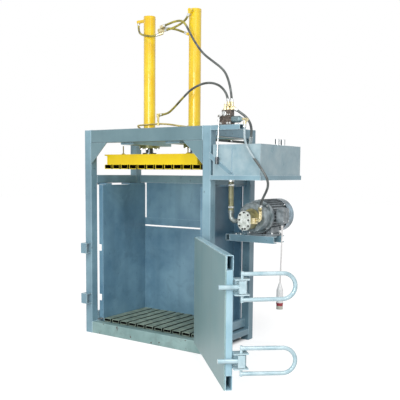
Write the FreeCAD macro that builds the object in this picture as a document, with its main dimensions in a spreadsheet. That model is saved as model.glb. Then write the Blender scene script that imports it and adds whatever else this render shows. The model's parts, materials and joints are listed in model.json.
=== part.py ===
"""Upright twin-cylinder baler: tube frame, chamber, ram, swing door, oil tank, pump and valve.

Millimetres, +Z up. The origin is the middle of the front sill's underside, on the floor.
X runs to the right along the front, Y runs back into the chamber.
"""

import FreeCAD, Part
import math
import os
import re
import Sketcher

os.makedirs("parts", exist_ok=True)
doc = FreeCAD.newDocument("baler")

SIZES = {
    # tube frame
    "frame_half": 695, "frame_depth": 715, "frame_height": 1870,
    # levels measured down from the frame's top edge
    "tie_bar_level": 120, "bed_low": 133, "tank_high": 154, "ram_bottom": 349, "rail_top": 404,
    "tank_low": 431, "wall_top": 494,
    # levels measured up from the frame's top edge
    "spool_level": 40, "lever_level": 65, "barrel_top": 1034,
    # levels measured down from the drive's axis
    "box_low": 50, "channel_top": 160,
    # places measured to the right of the frame's side
    "lever_x": 93, "drive_x": 280,
    # measured to the right of the drive's axis
    "box_in": 141,
    # measured forward from the frame's back
    "chamber_back": 25, "corner_angle_front": 110,
    # posts, beams and rails
    "post_side": 80, "tube_wall": 5, "tube_round": 8,
    "beam_height": 115, "tie_height": 80, "gusset_leg": 190, "gusset_thick": 10,
    "sill_height": 105, "base_lift": 50, "bearer_width": 60, "bearer_inset": 120,
    "rail_height": 75, "side_rail_width": 40, "back_rail_width": 22,
    "low_rail_height": 75, "low_rail_lift": 115,
    "tie_bar_height": 20, "tie_bar_width": 8,
    # chamber
    "wall_thick": 5, "chamber_half": 545, "strip_width": 50,
    "tab_thick": 6, "corner_slit": 15, "back_slit": 15, "back_slit_height": 960,
    "back_band": 70, "latch_notch_width": 30, "latch_notch_height": 60,
    "tab_near": 40, "tab_far": 376, "tab_tail": 47,
    # slats of the floor and of the ram
    "slat_count": 11, "slat_width": 80, "floor_slat_height": 30, "slat_wall": 4, "slat_clear": 8,
    # ram
    "ram_half": 533, "ram_clear": 12, "ram_slat_height": 40,
    "ram_body_height": 79, "ram_plate": 12, "ram_inset": 31, "ram_web": 10,
    "pin_left": 311, "pin_right": 402, "pin_radius": 5, "pin_rise": 73, "pin_foot": 50, "pin_foot_rise": 12,
    # cylinders
    "cylinder_half_spacing": 254, "cylinder_back": 397, "barrel_outer": 108, "barrel_bore": 90,
    "cap_thick": 22, "rod_outer": 70, "slide_gap": 0.05,
    "bed_width": 144, "bed_plate": 20, "bed_web": 10,
    "gland_flange": 190, "gland_thick": 25, "gland_depth": 55,
    "rod_foot": 130, "rod_foot_thick": 20, "piston_length": 60, "piston_drop": 22,
    "boss_radius": 14,
    # door
    "door_left": 567, "door_right": 605, "door_low": 134, "door_high": 990, "door_back_gap": 2,
    "door_sheet": 8, "door_sheet_drop": 8, "door_tube_depth": 46, "door_tube_height": 98,
    "door_upright": 50, "door_open": 134.5,
    "hinge_out": 20, "hinge_side": 30, "hinge_radius": 14, "hinge_pin": 8, "knuckle_length": 40,
    "knuckle_gap": 0.5, "strap_thick": 10, "strap_reach": 150, "hinge_high": 840, "hinge_low": 270,
    # latches
    "latch_high": 795, "latch_low": 328, "latch_axle_out": 25, "latch_axle_side": 25,
    "latch_pin": 9, "latch_plate_rise": 52, "latch_plate": 8, "latch_plate_width": 75, "latch_plate_nose": 44,
    "latch_plate_side": 22,
    "latch_block": 44, "latch_block_half": 40, "stub_radius": 15, "stub_reach": 149,
    "handle_radius": 13.5, "handle_rise": 81, "handle_reach": 342,
    "latch_high_turn": 0, "latch_low_turn": 5,
    "keeper_rise": 47, "keeper_reach": 70, "keeper_out": 62, "keeper_plate": 8, "keeper_lip": 22,
    # oil tank
    "tank_gap": 22, "tank_width": 430, "tank_depth": 682,
    "tank_wall": 4, "tank_frame_height": 37, "tank_frame_thick": 8, "brace_width": 45,
    "brace_thick": 6, "brace_near": 180, "brace_far": 237, "brace_rise": 183,
    "cap_radius": 20, "cap_height": 42, "neck_radius": 14, "neck_height": 12,
    "cap_out": 390, "cap_back": 388, "cap_pitch": 96,
    # valve and its shelf
    "shelf_width": 267, "shelf_depth": 72, "shelf_height": 40, "shelf_wall": 5,
    "valve_left": 70, "valve_width": 110, "valve_depth": 60, "valve_height": 66, "valve_middle": 36,
    "valve_chest": 50, "valve_chest_width": 84, "valve_chest_left": 24,
    "spool_radius": 11, "spool_out": 24, "spool_length": 170,
    "spring_radius": 26, "spring_length": 62, "spring_nose": 28, "spring_wall": 4,
    "port_radius": 15, "ferrule_radius": 14, "ferrule_length": 40,
    "lever_y": -24, "lever_radius": 5, "lever_length": 318,
    "lever_lean": 2.8, "lever_hub": 13, "lever_hub_length": 14, "lever_pin": 6,
    "knob_radius": 15, "knob_length": 54,
    # pump and motor
    "drive_height": 1142, "pump_front": 60, "pump_cover": 14,
    "pump_radius": 56, "pump_drop": 43, "pump_inset": 4, "bell_front": 180, "bell_radius": 118,
    "bell_wall": 12, "motor_front": 290, "motor_radius": 139, "motor_core": 125, "motor_bore": 108,
    "motor_back": 560, "flange_radius": 134, "flange_length": 20,
    "fin_count": 32, "fin_thick": 4, "cowl_back": 650, "cowl_wall": 3,
    "shaft_radius": 19, "shaft_front": 200, "fan_radius": 104, "fan_blades": 7,
    "cowl_slots": 12, "cowl_slot": 9, "cowl_hub": 34, "cowl_rim": 118, "rotor_radius": 102,
    "channel_height": 57, "channel_depth": 50, "channel_wall": 7, "channel_length": 415,
    "channel_front": 308, "channel_pitch": 132,
    "base_half": 118, "base_depth": 176, "foot_thick": 18, "leg_half": 96, "leg_width": 40,
    "motor_rail_width": 40,
    "box_width": 50, "box_depth": 112, "box_height": 117,
    "box_front": 335, "gland_nut": 13,
    # hoses
    "hose_radius": 9.5, "return_radius": 10, "suction_hose": 21, "lead_radius": 6, "hose_sides": 12,
    "pipe_radius": 8, "tee_radius": 15, "collar_radius": 25,
    "plug_radius": 27, "plug_low": 383, "plug_band_low": 425, "plug_band": 12, "plug_shoulder": 545,
    "plug_top": 600,
}

sheet = doc.addObject("Spreadsheet::Sheet", "Sizes")
for row, (alias, value) in enumerate(SIZES.items(), start=1):
    sheet.set("A%d" % row, alias)
    sheet.set("B%d" % row, str(value))
    sheet.setAlias("B%d" % row, alias)
doc.recompute()

ALIAS = re.compile(r"\b(" + "|".join(sorted(SIZES, key=len, reverse=True)) + r")\b")
WAYS = {"x": FreeCAD.Vector(1, 0, 0), "y": FreeCAD.Vector(0, 1, 0), "z": FreeCAD.Vector(0, 0, 1)}
BEND_SHARE = 0.45
finished = []


def bound(text):
    """An expression with each size's name led to its cell in the sheet."""
    return ALIAS.sub(r"Sizes.\1", str(text))


def num(text):
    """The present value of an expression of sizes."""
    return float(sheet.evalExpression("(" + str(text) + ") * 1.0"))


def put(item, x, y, z):
    """Ties an object's position to expressions."""
    for axis, text in zip("xyz", (x, y, z)):
        item.setExpression("Placement.Base." + axis, bound(text))
    return item


def tie(item, **sizes):
    """Ties an object's dimensions to expressions."""
    for field, text in sizes.items():
        item.setExpression(field, bound(text))
    return item


def box(x, y, z, dx, dy, dz):
    item = doc.addObject("Part::Box", "Block")
    return put(tie(item, Length=dx, Width=dy, Height=dz), x, y, z)


def rod(way, x, y, z, radius, length):
    """A cylinder that starts at a point and runs along +X, +Y or +Z."""
    item = doc.addObject("Part::Cylinder", "Rod")
    item.Placement = FreeCAD.Placement(FreeCAD.Vector(), FreeCAD.Rotation(WAYS["z"], WAYS[way]))
    return put(tie(item, Radius=radius, Height=length), x, y, z)


def cone(way, x, y, z, radius, tip, length):
    item = doc.addObject("Part::Cone", "Taper")
    item.Placement = FreeCAD.Placement(FreeCAD.Vector(), FreeCAD.Rotation(WAYS["z"], WAYS[way]))
    return put(tie(item, Radius1=radius, Radius2=tip, Height=length), x, y, z)


def joined(*pieces, tidy=True):
    item = doc.addObject("Part::MultiFuse", "Joined")
    item.Shapes = list(pieces)
    item.Refine = tidy
    return item


def group(*pieces):
    """Separate solids that make one sub-part."""
    item = doc.addObject("Part::Compound", "Group")
    item.Links = list(pieces)
    return item


def cut(base, *tools):
    item = doc.addObject("Part::Cut", "Cut")
    item.Base = base
    item.Tool = tools[0] if len(tools) == 1 else group(*tools)
    item.Refine = True
    return item


def section(x, y, z, dx, dy, dz, way, wall="tube_wall", closed="", corner="tube_round", edge="Fillet"):
    """A rolled hollow section with eased long edges, open at its ends or closed at the top."""
    frame = doc.addObject("PartDesign::Body", "Section")
    block = frame.newObject("PartDesign::AdditiveBox", "Outside")
    put(tie(block, Length=dx, Width=dy, Height=dz), x, y, z)
    doc.recompute()
    edges = [
        "Edge%d" % number
        for number, edge in enumerate(block.Shape.Edges, start=1)
        if abs(edge.tangentAt(0).dot(WAYS[way])) > 0.9
    ]
    eased = frame.newObject("PartDesign::" + edge, "Corners")
    eased.Base = (block, edges)
    tie(eased, **{"Radius" if edge == "Fillet" else "Size": corner})
    hollow = frame.newObject("PartDesign::SubtractiveBox", "Hollow")
    size = {"x": dx, "y": dy, "z": dz}
    first = {"x": x, "y": y, "z": z}
    for axis in "xyz":
        if axis != way:
            first[axis] = "(%s) + %s" % (first[axis], wall)
            size[axis] = "(%s) - 2 * %s" % (size[axis], wall)
    if closed:
        size[way] = "(%s) - %s" % (size[way], closed)
    put(hollow, first["x"], first["y"], first["z"])
    tie(hollow, Length=size["x"], Width=size["y"], Height=size["z"])
    return frame


def plate(plane, points, thick, x=0, y=0, z=0):
    """A flat plate of any outline; the XZ plane's thickness runs toward -Y, the YZ plane's to +X."""
    frame = doc.addObject("PartDesign::Body", "Plate")
    sketch = frame.newObject("Sketcher::SketchObject", "Outline")
    origin = [part for part in frame.Origin.OriginFeatures if part.Role == plane + "_Plane"][0]
    sketch.AttachmentSupport = [(origin, "")]
    sketch.MapMode = "FlatFace"
    spots = [(num(a), num(b)) for a, b in points]
    count = len(points)
    for here in range(count):
        start = FreeCAD.Vector(*spots[here], 0)
        end = FreeCAD.Vector(*spots[(here + 1) % count], 0)
        sketch.addGeometry(Part.LineSegment(start, end), False)
    for here in range(count):
        sketch.addConstraint(Sketcher.Constraint("Coincident", here, 2, (here + 1) % count, 1))
    for here, (across, along) in enumerate(points):
        for kind, text, spot in (("DistanceX", across, spots[here][0]), ("DistanceY", along, spots[here][1])):
            mark = sketch.addConstraint(Sketcher.Constraint(kind, -1, 1, here, 1, spot))
            sketch.setExpression("Constraints[%d]" % mark, bound(text))
    pad = frame.newObject("PartDesign::Pad", "Thickness")
    pad.Profile = sketch
    tie(pad, Length=thick)
    return put(frame, x, y, z)


def route(points):
    """Straight runs joined by tangent arcs; returns the wire, its bend radii and its length."""
    spots = [FreeCAD.Vector(*point) for point in points]
    edges, radii, last = [], [], spots[0]
    for before, here, after in zip(spots, spots[1:], spots[2:]):
        come, leave = here - before, after - here
        turn = come.getAngle(leave)
        reach = BEND_SHARE * min(come.Length, leave.Length)
        radius = reach / math.tan(turn / 2)
        first = here - come.normalize() * reach
        second = here + leave.normalize() * reach
        inward = (second - here).normalize() + (first - here).normalize()
        middle = here + inward.normalize() * (radius / math.cos(turn / 2) - radius)
        edges.append(Part.LineSegment(last, first).toShape())
        edges.append(Part.Arc(first, middle, second).toShape())
        radii.append(radius)
        last = second
    edges.append(Part.LineSegment(last, spots[-1]).toShape())
    wire = Part.Wire(edges)
    return wire, radii, wire.Length


def cord(name, points, radius, sides=0):
    """A hose, lead or pipe along a route: round, or with flat sides and a round one's area."""
    wire, radii, length = route(points)
    start = FreeCAD.Vector(*points[0])
    along = (FreeCAD.Vector(*points[1]) - start).normalize()
    if sides:
        step = 2 * math.pi / sides
        reach = num(radius) * math.sqrt(step / math.sin(step))
        across = along.cross(WAYS["y"]).normalize()
        rise = along.cross(across)
        spots = [
            start + across * (reach * math.cos(step * count)) + rise * (reach * math.sin(step * count))
            for count in range(sides)]
        ring = Part.makePolygon(spots + spots[:1])
    else:
        ring = Part.Wire([Part.Circle(start, along, num(radius)).toShape()])
    solid = wire.makePipeShell([ring], True, True)
    item = doc.addObject("Part::Feature", name)
    item.Shape = solid
    ideal = math.pi * num(radius) ** 2 * length
    print(
        "%s: length %.0f, least radius %.0f (%.1f diameters), volume %.4f of the ideal"
        % (name, length, min(radii), min(radii) / (2 * num(radius)), solid.Volume / ideal)
    )
    return item


def ferrule(points, radius, length, at_end=False):
    """A sleeve whose mouth is a hose's end, on the hose's own line."""
    here, beyond = (points[-1], points[-2]) if at_end else (points[0], points[1])
    mouth = FreeCAD.Vector(*here)
    along = (FreeCAD.Vector(*beyond) - mouth).normalize()
    item = doc.addObject("Part::Cylinder", "Ferrule")
    turn = FreeCAD.Rotation(WAYS["z"], along)
    item.Placement = FreeCAD.Placement(mouth - along * num(length), turn)
    return tie(item, Radius=radius, Height=length)


def node(name, item):
    """Names a finished sub-part and keeps it for export."""
    item.Label = name
    finished.append(item)
    return item


# ---------------------------------------------------------------- places in the part's own frame
LEVER_X = "(frame_half + lever_x)"
DRIVE_X = "(frame_half + drive_x)"
BOX_X = "(frame_half + drive_x + box_in)"
CHAMBER_BACK = "(frame_depth - chamber_back)"
CORNER_FRONT = "(frame_depth - corner_angle_front)"
TIE_BAR = "(frame_height - tie_bar_level)"
BED_LOW = "(frame_height - bed_low)"
TANK_HIGH = "(frame_height - tank_high)"
RAM_LOW = "(frame_height - ram_bottom)"
RAIL_LOW = "(frame_height - rail_top - rail_height)"
TANK_LOW = "(frame_height - tank_low)"
WALL_TOP = "(frame_height - wall_top)"
SPOOL = "(frame_height + spool_level)"
LEVER = "(frame_height + lever_level)"
BARREL_TOP = "(frame_height + barrel_top)"
BOX_LOW = "(drive_height - box_low)"
CHANNEL_TOP = "(drive_height - channel_top)"
CHANNEL_LOW = "(drive_height - channel_top - channel_height)"

# ---------------------------------------------------------------- tube frame
INNER = "frame_half - post_side"
BETWEEN = "frame_depth - 2 * post_side"

posts = []
for side_x in ("-frame_half", INNER):
    for side_y in ("0", "frame_depth - post_side"):
        posts.append(section(side_x, side_y, "0", "post_side", "post_side", "frame_height", "z", closed="tube_wall"))
node("frame_posts", group(*posts))

top_ties = [section(
    "-(" + INNER + ")", "frame_depth - post_side", "frame_height - tie_height",
    "2 * (" + INNER + ")", "post_side", "tie_height", "x")]
for side_x in ("-frame_half", INNER):
    top_ties.append(section(
        side_x, "post_side", "frame_height - tie_height", "post_side", BETWEEN, "tie_height", "y"))
node("top_beams", group(*top_ties))

BEAM_LOW = "frame_height - beam_height"
node("front_beam", group(
    section("-(" + INNER + ")", "0", BEAM_LOW, "2 * (" + INNER + ")", "post_side", "beam_height", "x"),
    plate("XZ", [
        ("-(" + INNER + ")", BEAM_LOW), ("-(" + INNER + ") + gusset_leg", BEAM_LOW),
        ("-(" + INNER + ")", BEAM_LOW + " - gusset_leg")], "gusset_thick", y="gusset_thick"),
    plate("XZ", [
        (INNER, BEAM_LOW), (INNER, BEAM_LOW + " - gusset_leg"),
        (INNER + " - gusset_leg", BEAM_LOW)], "gusset_thick", y="gusset_thick")))

node("front_sill", section(
    "-(" + INNER + ")", "0", "0", "2 * (" + INNER + ")", "post_side", "sill_height", "x"))
base = [section(
    "-(" + INNER + ")", "frame_depth - post_side", "base_lift",
    "2 * (" + INNER + ")", "post_side", "sill_height - base_lift", "x")]
for side_x in ("-frame_half", INNER):
    base.append(section(
        side_x, "post_side", "base_lift", "post_side", BETWEEN, "sill_height - base_lift", "y"))
for side_x in ("-(" + INNER + ") - side_rail_width", INNER):
    base.append(section(
        side_x, "post_side", "low_rail_lift", "side_rail_width", BETWEEN, "low_rail_height", "y"))
node("base_rails", group(*base))
node("floor_bearers", group(*[
    section(
        "-(" + INNER + ")", place, "base_lift",
        "2 * (" + INNER + ")", "bearer_width", "sill_height - base_lift", "x")
    for place in ("post_side + bearer_inset - bearer_width / 2",
                  "frame_depth - post_side - bearer_inset + bearer_width / 2")]))

rails = [section(
    "-(" + INNER + ")", "frame_depth - back_rail_width", RAIL_LOW,
    "2 * (" + INNER + ")", "back_rail_width", "rail_height", "x", corner="tube_wall - 1")]
for side_x in ("-(" + INNER + ") - side_rail_width", INNER):
    rails.append(section(
        side_x, "post_side", RAIL_LOW, "side_rail_width", BETWEEN, "rail_height", "y"))
rails.append(section(
    "frame_half - motor_rail_width", "channel_front - 8", CHANNEL_LOW,
    "motor_rail_width", "frame_depth - post_side - channel_front + 8", "channel_height", "y"))
node("side_rails", group(*rails))
node("tie_bar", joined(
    box("frame_half - post_side / 2", "post_side", TIE_BAR, "tie_bar_width", BETWEEN, "tie_bar_height"),
    rod("x", "frame_half - post_side / 2 + tie_bar_width", "frame_depth / 2", TIE_BAR + " + tie_bar_height / 2",
        "tie_bar_width", "tie_bar_width")))

# ---------------------------------------------------------------- chamber
NOTCH_LEFT = "-(chamber_half + strip_width)"
walls = []
for sign, wall_x, strip_x in (
    (-1, "-(chamber_half + wall_thick)", "-(chamber_half + strip_width)"),
    (1, "chamber_half", "chamber_half"),
):
    side = box(wall_x, "post_side + wall_thick", "sill_height", "wall_thick",
               CHAMBER_BACK + " - post_side - wall_thick", WALL_TOP + " - sill_height")
    strip = box(strip_x, "post_side", "sill_height + floor_slat_height", "strip_width",
                "wall_thick", WALL_TOP + " - sill_height - floor_slat_height")
    if sign < 0:
        strip = cut(strip, *[
            box(NOTCH_LEFT, "post_side - 1", level + " - latch_notch_height / 2",
                "latch_notch_width", "wall_thick + 2", "latch_notch_height")
            for level in ("latch_high", "latch_low")])
    walls.append(joined(side, strip))
corners = []
for face_x, edge_x in (
    ("-(" + INNER + ")", "-(" + INNER + ")"),
    ("chamber_half + wall_thick", INNER + " - wall_thick"),
):
    corners.append(joined(
        box(face_x, CORNER_FRONT, "sill_height", INNER + " - chamber_half - wall_thick", "wall_thick",
            WALL_TOP + " - sill_height"),
        box(edge_x, CORNER_FRONT, "sill_height", "wall_thick",
            "corner_angle_front - post_side", WALL_TOP + " - sill_height")))
GAP_HIGH = RAIL_LOW + " - " + WALL_TOP
tabs = []
for start, outer in (("-(" + INNER + ") - side_rail_width", "-(" + INNER + ")"), ("chamber_half", "chamber_half")):
    width = INNER + " + side_rail_width - chamber_half"
    tabs.append(box(start, "post_side + tab_near", WALL_TOP, width, "post_side", GAP_HIGH))
    tabs.append(joined(
        box(start, "post_side + tab_far", WALL_TOP, width, BETWEEN + " - tab_far", GAP_HIGH),
        box(outer, "frame_depth - post_side", WALL_TOP, INNER + " - chamber_half", "tab_tail", GAP_HIGH)))
node("side_walls", group(*walls, *corners, *tabs))

BAND_LOW = "back_slit_height + back_slit"
panels = [
    box("-(chamber_half + wall_thick)", CHAMBER_BACK, "sill_height",
        "2 * (chamber_half + wall_thick)", "wall_thick", "back_slit_height - sill_height"),
    box("-(chamber_half + wall_thick)", CHAMBER_BACK, BAND_LOW,
        "2 * (chamber_half + wall_thick)", "wall_thick", "back_band"),
    box("-(chamber_half - corner_slit)", CHAMBER_BACK, BAND_LOW + " + back_band",
        "2 * chamber_half - corner_slit + wall_thick", "wall_thick",
        RAIL_LOW + " - (" + BAND_LOW + ") - back_band")]
for level in ("back_slit_height - back_band", BAND_LOW):
    panels.append(section(
        "-(" + INNER + ")", CHAMBER_BACK + " + wall_thick", level,
        "2 * (" + INNER + ")", "chamber_back - wall_thick", "back_band", "x",
        corner="tube_wall - 1"))
node("back_wall", group(*panels))

FLOOR_HALF = "(chamber_half - wall_thick)"
floor_slats = []
for count in range(SIZES["slat_count"]):
    left = "-%s + %d * (2 * %s - slat_width) / (slat_count - 1)" % (FLOOR_HALF, count, FLOOR_HALF)
    floor_slats.append(section(
        left, "post_side + wall_thick", "sill_height", "slat_width",
        CHAMBER_BACK + " - post_side - wall_thick", "floor_slat_height", "y",
        wall="slat_wall", corner="slat_wall / 2", edge="Chamfer"))
node("floor_slats", group(*floor_slats))

# ---------------------------------------------------------------- cylinders
beds, barrels, glands = [], [], []
for sign in ("-1", "1"):
    middle = sign + " * cylinder_half_spacing"
    beds.append(cut(
        joined(
            box(middle + " - bed_width / 2", "post_side", BED_LOW, "bed_width", BETWEEN, "bed_plate"),
            box(middle + " - bed_width / 2", "post_side", BED_LOW + " + bed_plate", "bed_web",
                BETWEEN, "frame_height - 20 - (" + BED_LOW + ") - bed_plate"),
            box(middle + " + bed_width / 2 - bed_web", "post_side", BED_LOW + " + bed_plate", "bed_web",
                BETWEEN, "frame_height - 20 - (" + BED_LOW + ") - bed_plate")),
        rod("z", middle, "cylinder_back", BED_LOW + " - 1", "barrel_bore / 2", "bed_plate + 2")))
    foot = BED_LOW + " + bed_plate"
    barrels.append(cut(
        rod("z", middle, "cylinder_back", foot, "barrel_outer / 2", BARREL_TOP + " - (" + foot + ")"),
        rod("z", middle, "cylinder_back", foot, "barrel_bore / 2",
            BARREL_TOP + " - cap_thick - (" + foot + ")")))
    pieces = [
        rod("z", middle, "cylinder_back", BED_LOW + " - gland_thick", "gland_flange / 2", "gland_thick"),
        rod("z", middle, "cylinder_back", BED_LOW, "barrel_bore / 2 - slide_gap", "gland_depth")]
    glands.append(cut(
        joined(*pieces),
        rod("z", middle, "cylinder_back", BED_LOW + " - gland_thick - 1",
            "rod_outer / 2 + slide_gap", "gland_thick + gland_depth + 2")))
node("cylinder_beds", group(*beds))
node("cylinder_barrels", group(*barrels))
node("cylinder_glands", group(*glands))

# ---------------------------------------------------------------- ram
SLAT_TOP = RAM_LOW + " + ram_slat_height"
PLATE_LOW = SLAT_TOP + " + ram_body_height"
RAM_FRONT = "post_side + ram_clear"
RAM_DEPTH = CHAMBER_BACK + " - slat_clear - post_side - ram_clear"
BODY_HALF = "(ram_half - ram_inset)"
pocket = "(2 * %s - 4 * ram_web) / 3" % BODY_HALF
pockets = [
    box("-%s + ram_web + %d * (%s + ram_web)" % (BODY_HALF, count, pocket), RAM_FRONT + " + ram_web",
        SLAT_TOP, pocket, RAM_DEPTH + " - 2 * ram_web", "ram_body_height")
    for count in range(3)]
node("ram_frame", joined(
    cut(box("-" + BODY_HALF, RAM_FRONT, SLAT_TOP, "2 * " + BODY_HALF, RAM_DEPTH, "ram_body_height"), *pockets),
    box("-ram_half", RAM_FRONT, PLATE_LOW, "2 * ram_half", RAM_DEPTH, "ram_plate")))
node("ram_slats", group(*[
    section(
        "-ram_half + %d * (2 * ram_half - slat_width) / (slat_count - 1)" % count, RAM_FRONT,
        RAM_LOW, "slat_width", RAM_DEPTH, "ram_slat_height", "y",
        wall="slat_wall + 1", corner="slat_wall / 2", edge="Chamfer")
    for count in range(SIZES["slat_count"])]))
RAM_TOP = PLATE_LOW + " + ram_plate"
pins = []
for place in ("-pin_left", "pin_right"):
    pins.append(joined(
        rod("z", place, RAM_FRONT + " + pin_radius + 1", RAM_TOP, "pin_radius", "pin_rise"),
        plate("XZ", [
            (place + " - pin_foot / 2", RAM_TOP), (place + " + pin_foot / 2", RAM_TOP),
            (place, RAM_TOP + " + pin_foot_rise")], "pin_radius", y=RAM_FRONT + " + pin_radius * 3 / 2 + 1")))
node("ram_pins", group(*pins))
PISTON_TOP = BARREL_TOP + " - cap_thick - piston_drop"
node("cylinder_rods", group(*[
    joined(
        rod("z", sign + " * cylinder_half_spacing", "cylinder_back", RAM_TOP, "rod_foot / 2", "rod_foot_thick"),
        rod("z", sign + " * cylinder_half_spacing", "cylinder_back", RAM_TOP, "rod_outer / 2",
            PISTON_TOP + " - (" + RAM_TOP + ")"),
        rod("z", sign + " * cylinder_half_spacing", "cylinder_back", PISTON_TOP + " - piston_length",
            "barrel_bore / 2 - slide_gap", "piston_length"))
    for sign in ("-1", "1")]))

# ---------------------------------------------------------------- door, modelled shut and swung open
HINGE_X = "frame_half - hinge_side"
HINGE_Y = "-hinge_out"


def swung(*pieces):
    """Turns shut pieces about the hinge line to the open angle."""
    item = group(*pieces)
    item.Placement = FreeCAD.Placement(FreeCAD.Vector(), FreeCAD.Rotation(WAYS["z"], 0))
    item.setExpression("Placement.Rotation.Angle", bound("door_open"))
    return put(
        item,
        "(%s) - (%s) * cos(door_open) + (%s) * sin(door_open)" % (HINGE_X, HINGE_X, HINGE_Y),
        "(%s) - (%s) * sin(door_open) - (%s) * cos(door_open)" % (HINGE_Y, HINGE_X, HINGE_Y),
        "0")


DOOR_FACE = "post_side - door_back_gap - door_sheet - door_tube_depth"
DOOR_WIDE = "door_left + door_right"
DOOR_TALL = "door_high - door_low"
node("door_panel", swung(box(
    "-door_left", "post_side - door_back_gap - door_sheet", "door_low", DOOR_WIDE, "door_sheet",
    DOOR_TALL + " - door_sheet_drop")))
door_bars = [
    section("-door_left", DOOR_FACE, level, DOOR_WIDE, "door_tube_depth", "door_tube_height", "x")
    for level in ("door_low", "door_high - door_tube_height")]
for place in ("-door_left", "(door_right - door_left) / 2 - door_upright / 2", "door_right - door_upright"):
    door_bars.append(section(
        place, DOOR_FACE, "door_low + door_tube_height", "door_upright", "door_tube_depth",
        DOOR_TALL + " - 2 * door_tube_height", "z"))
node("door_frame", swung(*door_bars))

straps, brackets = [], []
for level in ("hinge_high", "hinge_low"):
    low = level + " - knuckle_length / 2"
    leaf = joined(
        rod("z", HINGE_X, HINGE_Y, low, "hinge_radius", "knuckle_length"),
        box(HINGE_X + " - strap_reach", HINGE_Y + " - strap_thick / 2", low, "strap_reach", "strap_thick",
            "knuckle_length"),
        box(HINGE_X + " - strap_reach", HINGE_Y + " + strap_thick / 2", low,
            "strap_reach - (" + HINGE_X + ") + door_right", DOOR_FACE + " + hinge_out - strap_thick / 2",
            "knuckle_length"))
    straps.append(cut(leaf, rod("z", HINGE_X, HINGE_Y, low + " - 1", "hinge_pin + slide_gap", "knuckle_length + 2")))
    halves = [rod("z", HINGE_X, HINGE_Y, low + " - knuckle_length", "hinge_pin", "3 * knuckle_length")]
    for start in (low + " - knuckle_length", low + " + knuckle_length + knuckle_gap"):
        tall = "knuckle_length - knuckle_gap"
        halves.append(rod("z", HINGE_X, HINGE_Y, start, "hinge_radius", tall))
        halves.append(box(HINGE_X + " - hinge_radius", HINGE_Y, start, "2 * hinge_radius", "hinge_out", tall))
    brackets.append(joined(*halves))
node("hinge_brackets", group(*brackets))

# ---------------------------------------------------------------- latches
AXLE_X = "-(door_left + latch_axle_side)"
AXLE_Y = "-latch_axle_out"


def bow(rise, start, leg, radius):
    """A bar bent to a U: two legs toward -Y and a half turn."""
    low, high = FreeCAD.Vector(0, start, -rise), FreeCAD.Vector(0, start, rise)
    low_end, high_end = FreeCAD.Vector(0, -leg, -rise), FreeCAD.Vector(0, -leg, rise)
    wire = Part.Wire([
        Part.LineSegment(low, low_end).toShape(),
        Part.Arc(low_end, FreeCAD.Vector(0, -leg - rise, 0), high_end).toShape(),
        Part.LineSegment(high_end, high).toShape()])
    ring = Part.Wire([Part.Circle(low, FreeCAD.Vector(0, -1, 0), radius).toShape()])
    item = doc.addObject("Part::Feature", "Bow")
    item.Shape = wire.makePipeShell([ring], True, True)
    return item


def latch(level, turn):
    """U handle, block and stub on one upright axle."""
    leg = "handle_reach - handle_rise"
    end = "handle_rise + handle_radius + 3"
    pieces = [
        rod("z", "0", "0", "-(" + end + ")", "latch_pin", "2 * (" + end + ")"),
        box("-latch_block / 2", "-latch_block / 2", "-latch_block_half",
            "latch_block", "latch_block", "2 * latch_block_half"),
        rod("y", "0", "0", "0", "stub_radius", "stub_reach"),
        bow(num("handle_rise"), num("latch_pin") / 2, num(leg), num("handle_radius"))]
    item = group(joined(*pieces, tidy=False))
    item.Placement = FreeCAD.Placement(FreeCAD.Vector(), FreeCAD.Rotation(WAYS["z"], 0))
    item.setExpression("Placement.Rotation.Angle", bound("-1 * " + turn))
    return put(item, AXLE_X, AXLE_Y, level)


node("latch_upper", swung(latch("latch_high", "latch_high_turn")))
node("latch_lower", swung(latch("latch_low", "latch_low_turn")))
jaws = []
for level in ("latch_high", "latch_low"):
    plates = [
        box(AXLE_X + " - latch_plate_side", AXLE_Y + " - latch_plate_nose", start, "latch_plate_width",
            DOOR_FACE + " + latch_axle_out + latch_plate_nose", "latch_plate")
        for start in (level + " - latch_plate_rise", level + " + latch_plate_rise - latch_plate")]
    web = box(
        AXLE_X + " - latch_plate_side + latch_plate_width - latch_plate", AXLE_Y + " - latch_plate_nose",
        level + " - latch_plate_rise", "latch_plate", DOOR_FACE + " + latch_axle_out + latch_plate_nose",
        "2 * latch_plate_rise")
    jaws.append(cut(
        joined(*plates, web),
        rod("z", AXLE_X, AXLE_Y, level + " - latch_plate_rise - 1", "latch_pin + slide_gap",
            "2 * latch_plate_rise + 2")))
node("door_fittings", swung(*straps, *jaws))
keepers = []
for level in ("latch_high", "latch_low"):
    for start in (level + " - keeper_rise", level + " + keeper_rise - keeper_plate"):
        keepers.append(box(
            "-frame_half + 3", "-keeper_out", start, "keeper_reach", "keeper_out", "keeper_plate"))
    keepers.append(box(
        "-frame_half + 3", "-keeper_out", level + " - keeper_rise + keeper_plate",
        "keeper_reach", "keeper_plate", "2 * (keeper_rise - keeper_plate)"))
node("latch_keepers", group(joined(*keepers[:3]), joined(*keepers[3:])))

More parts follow.
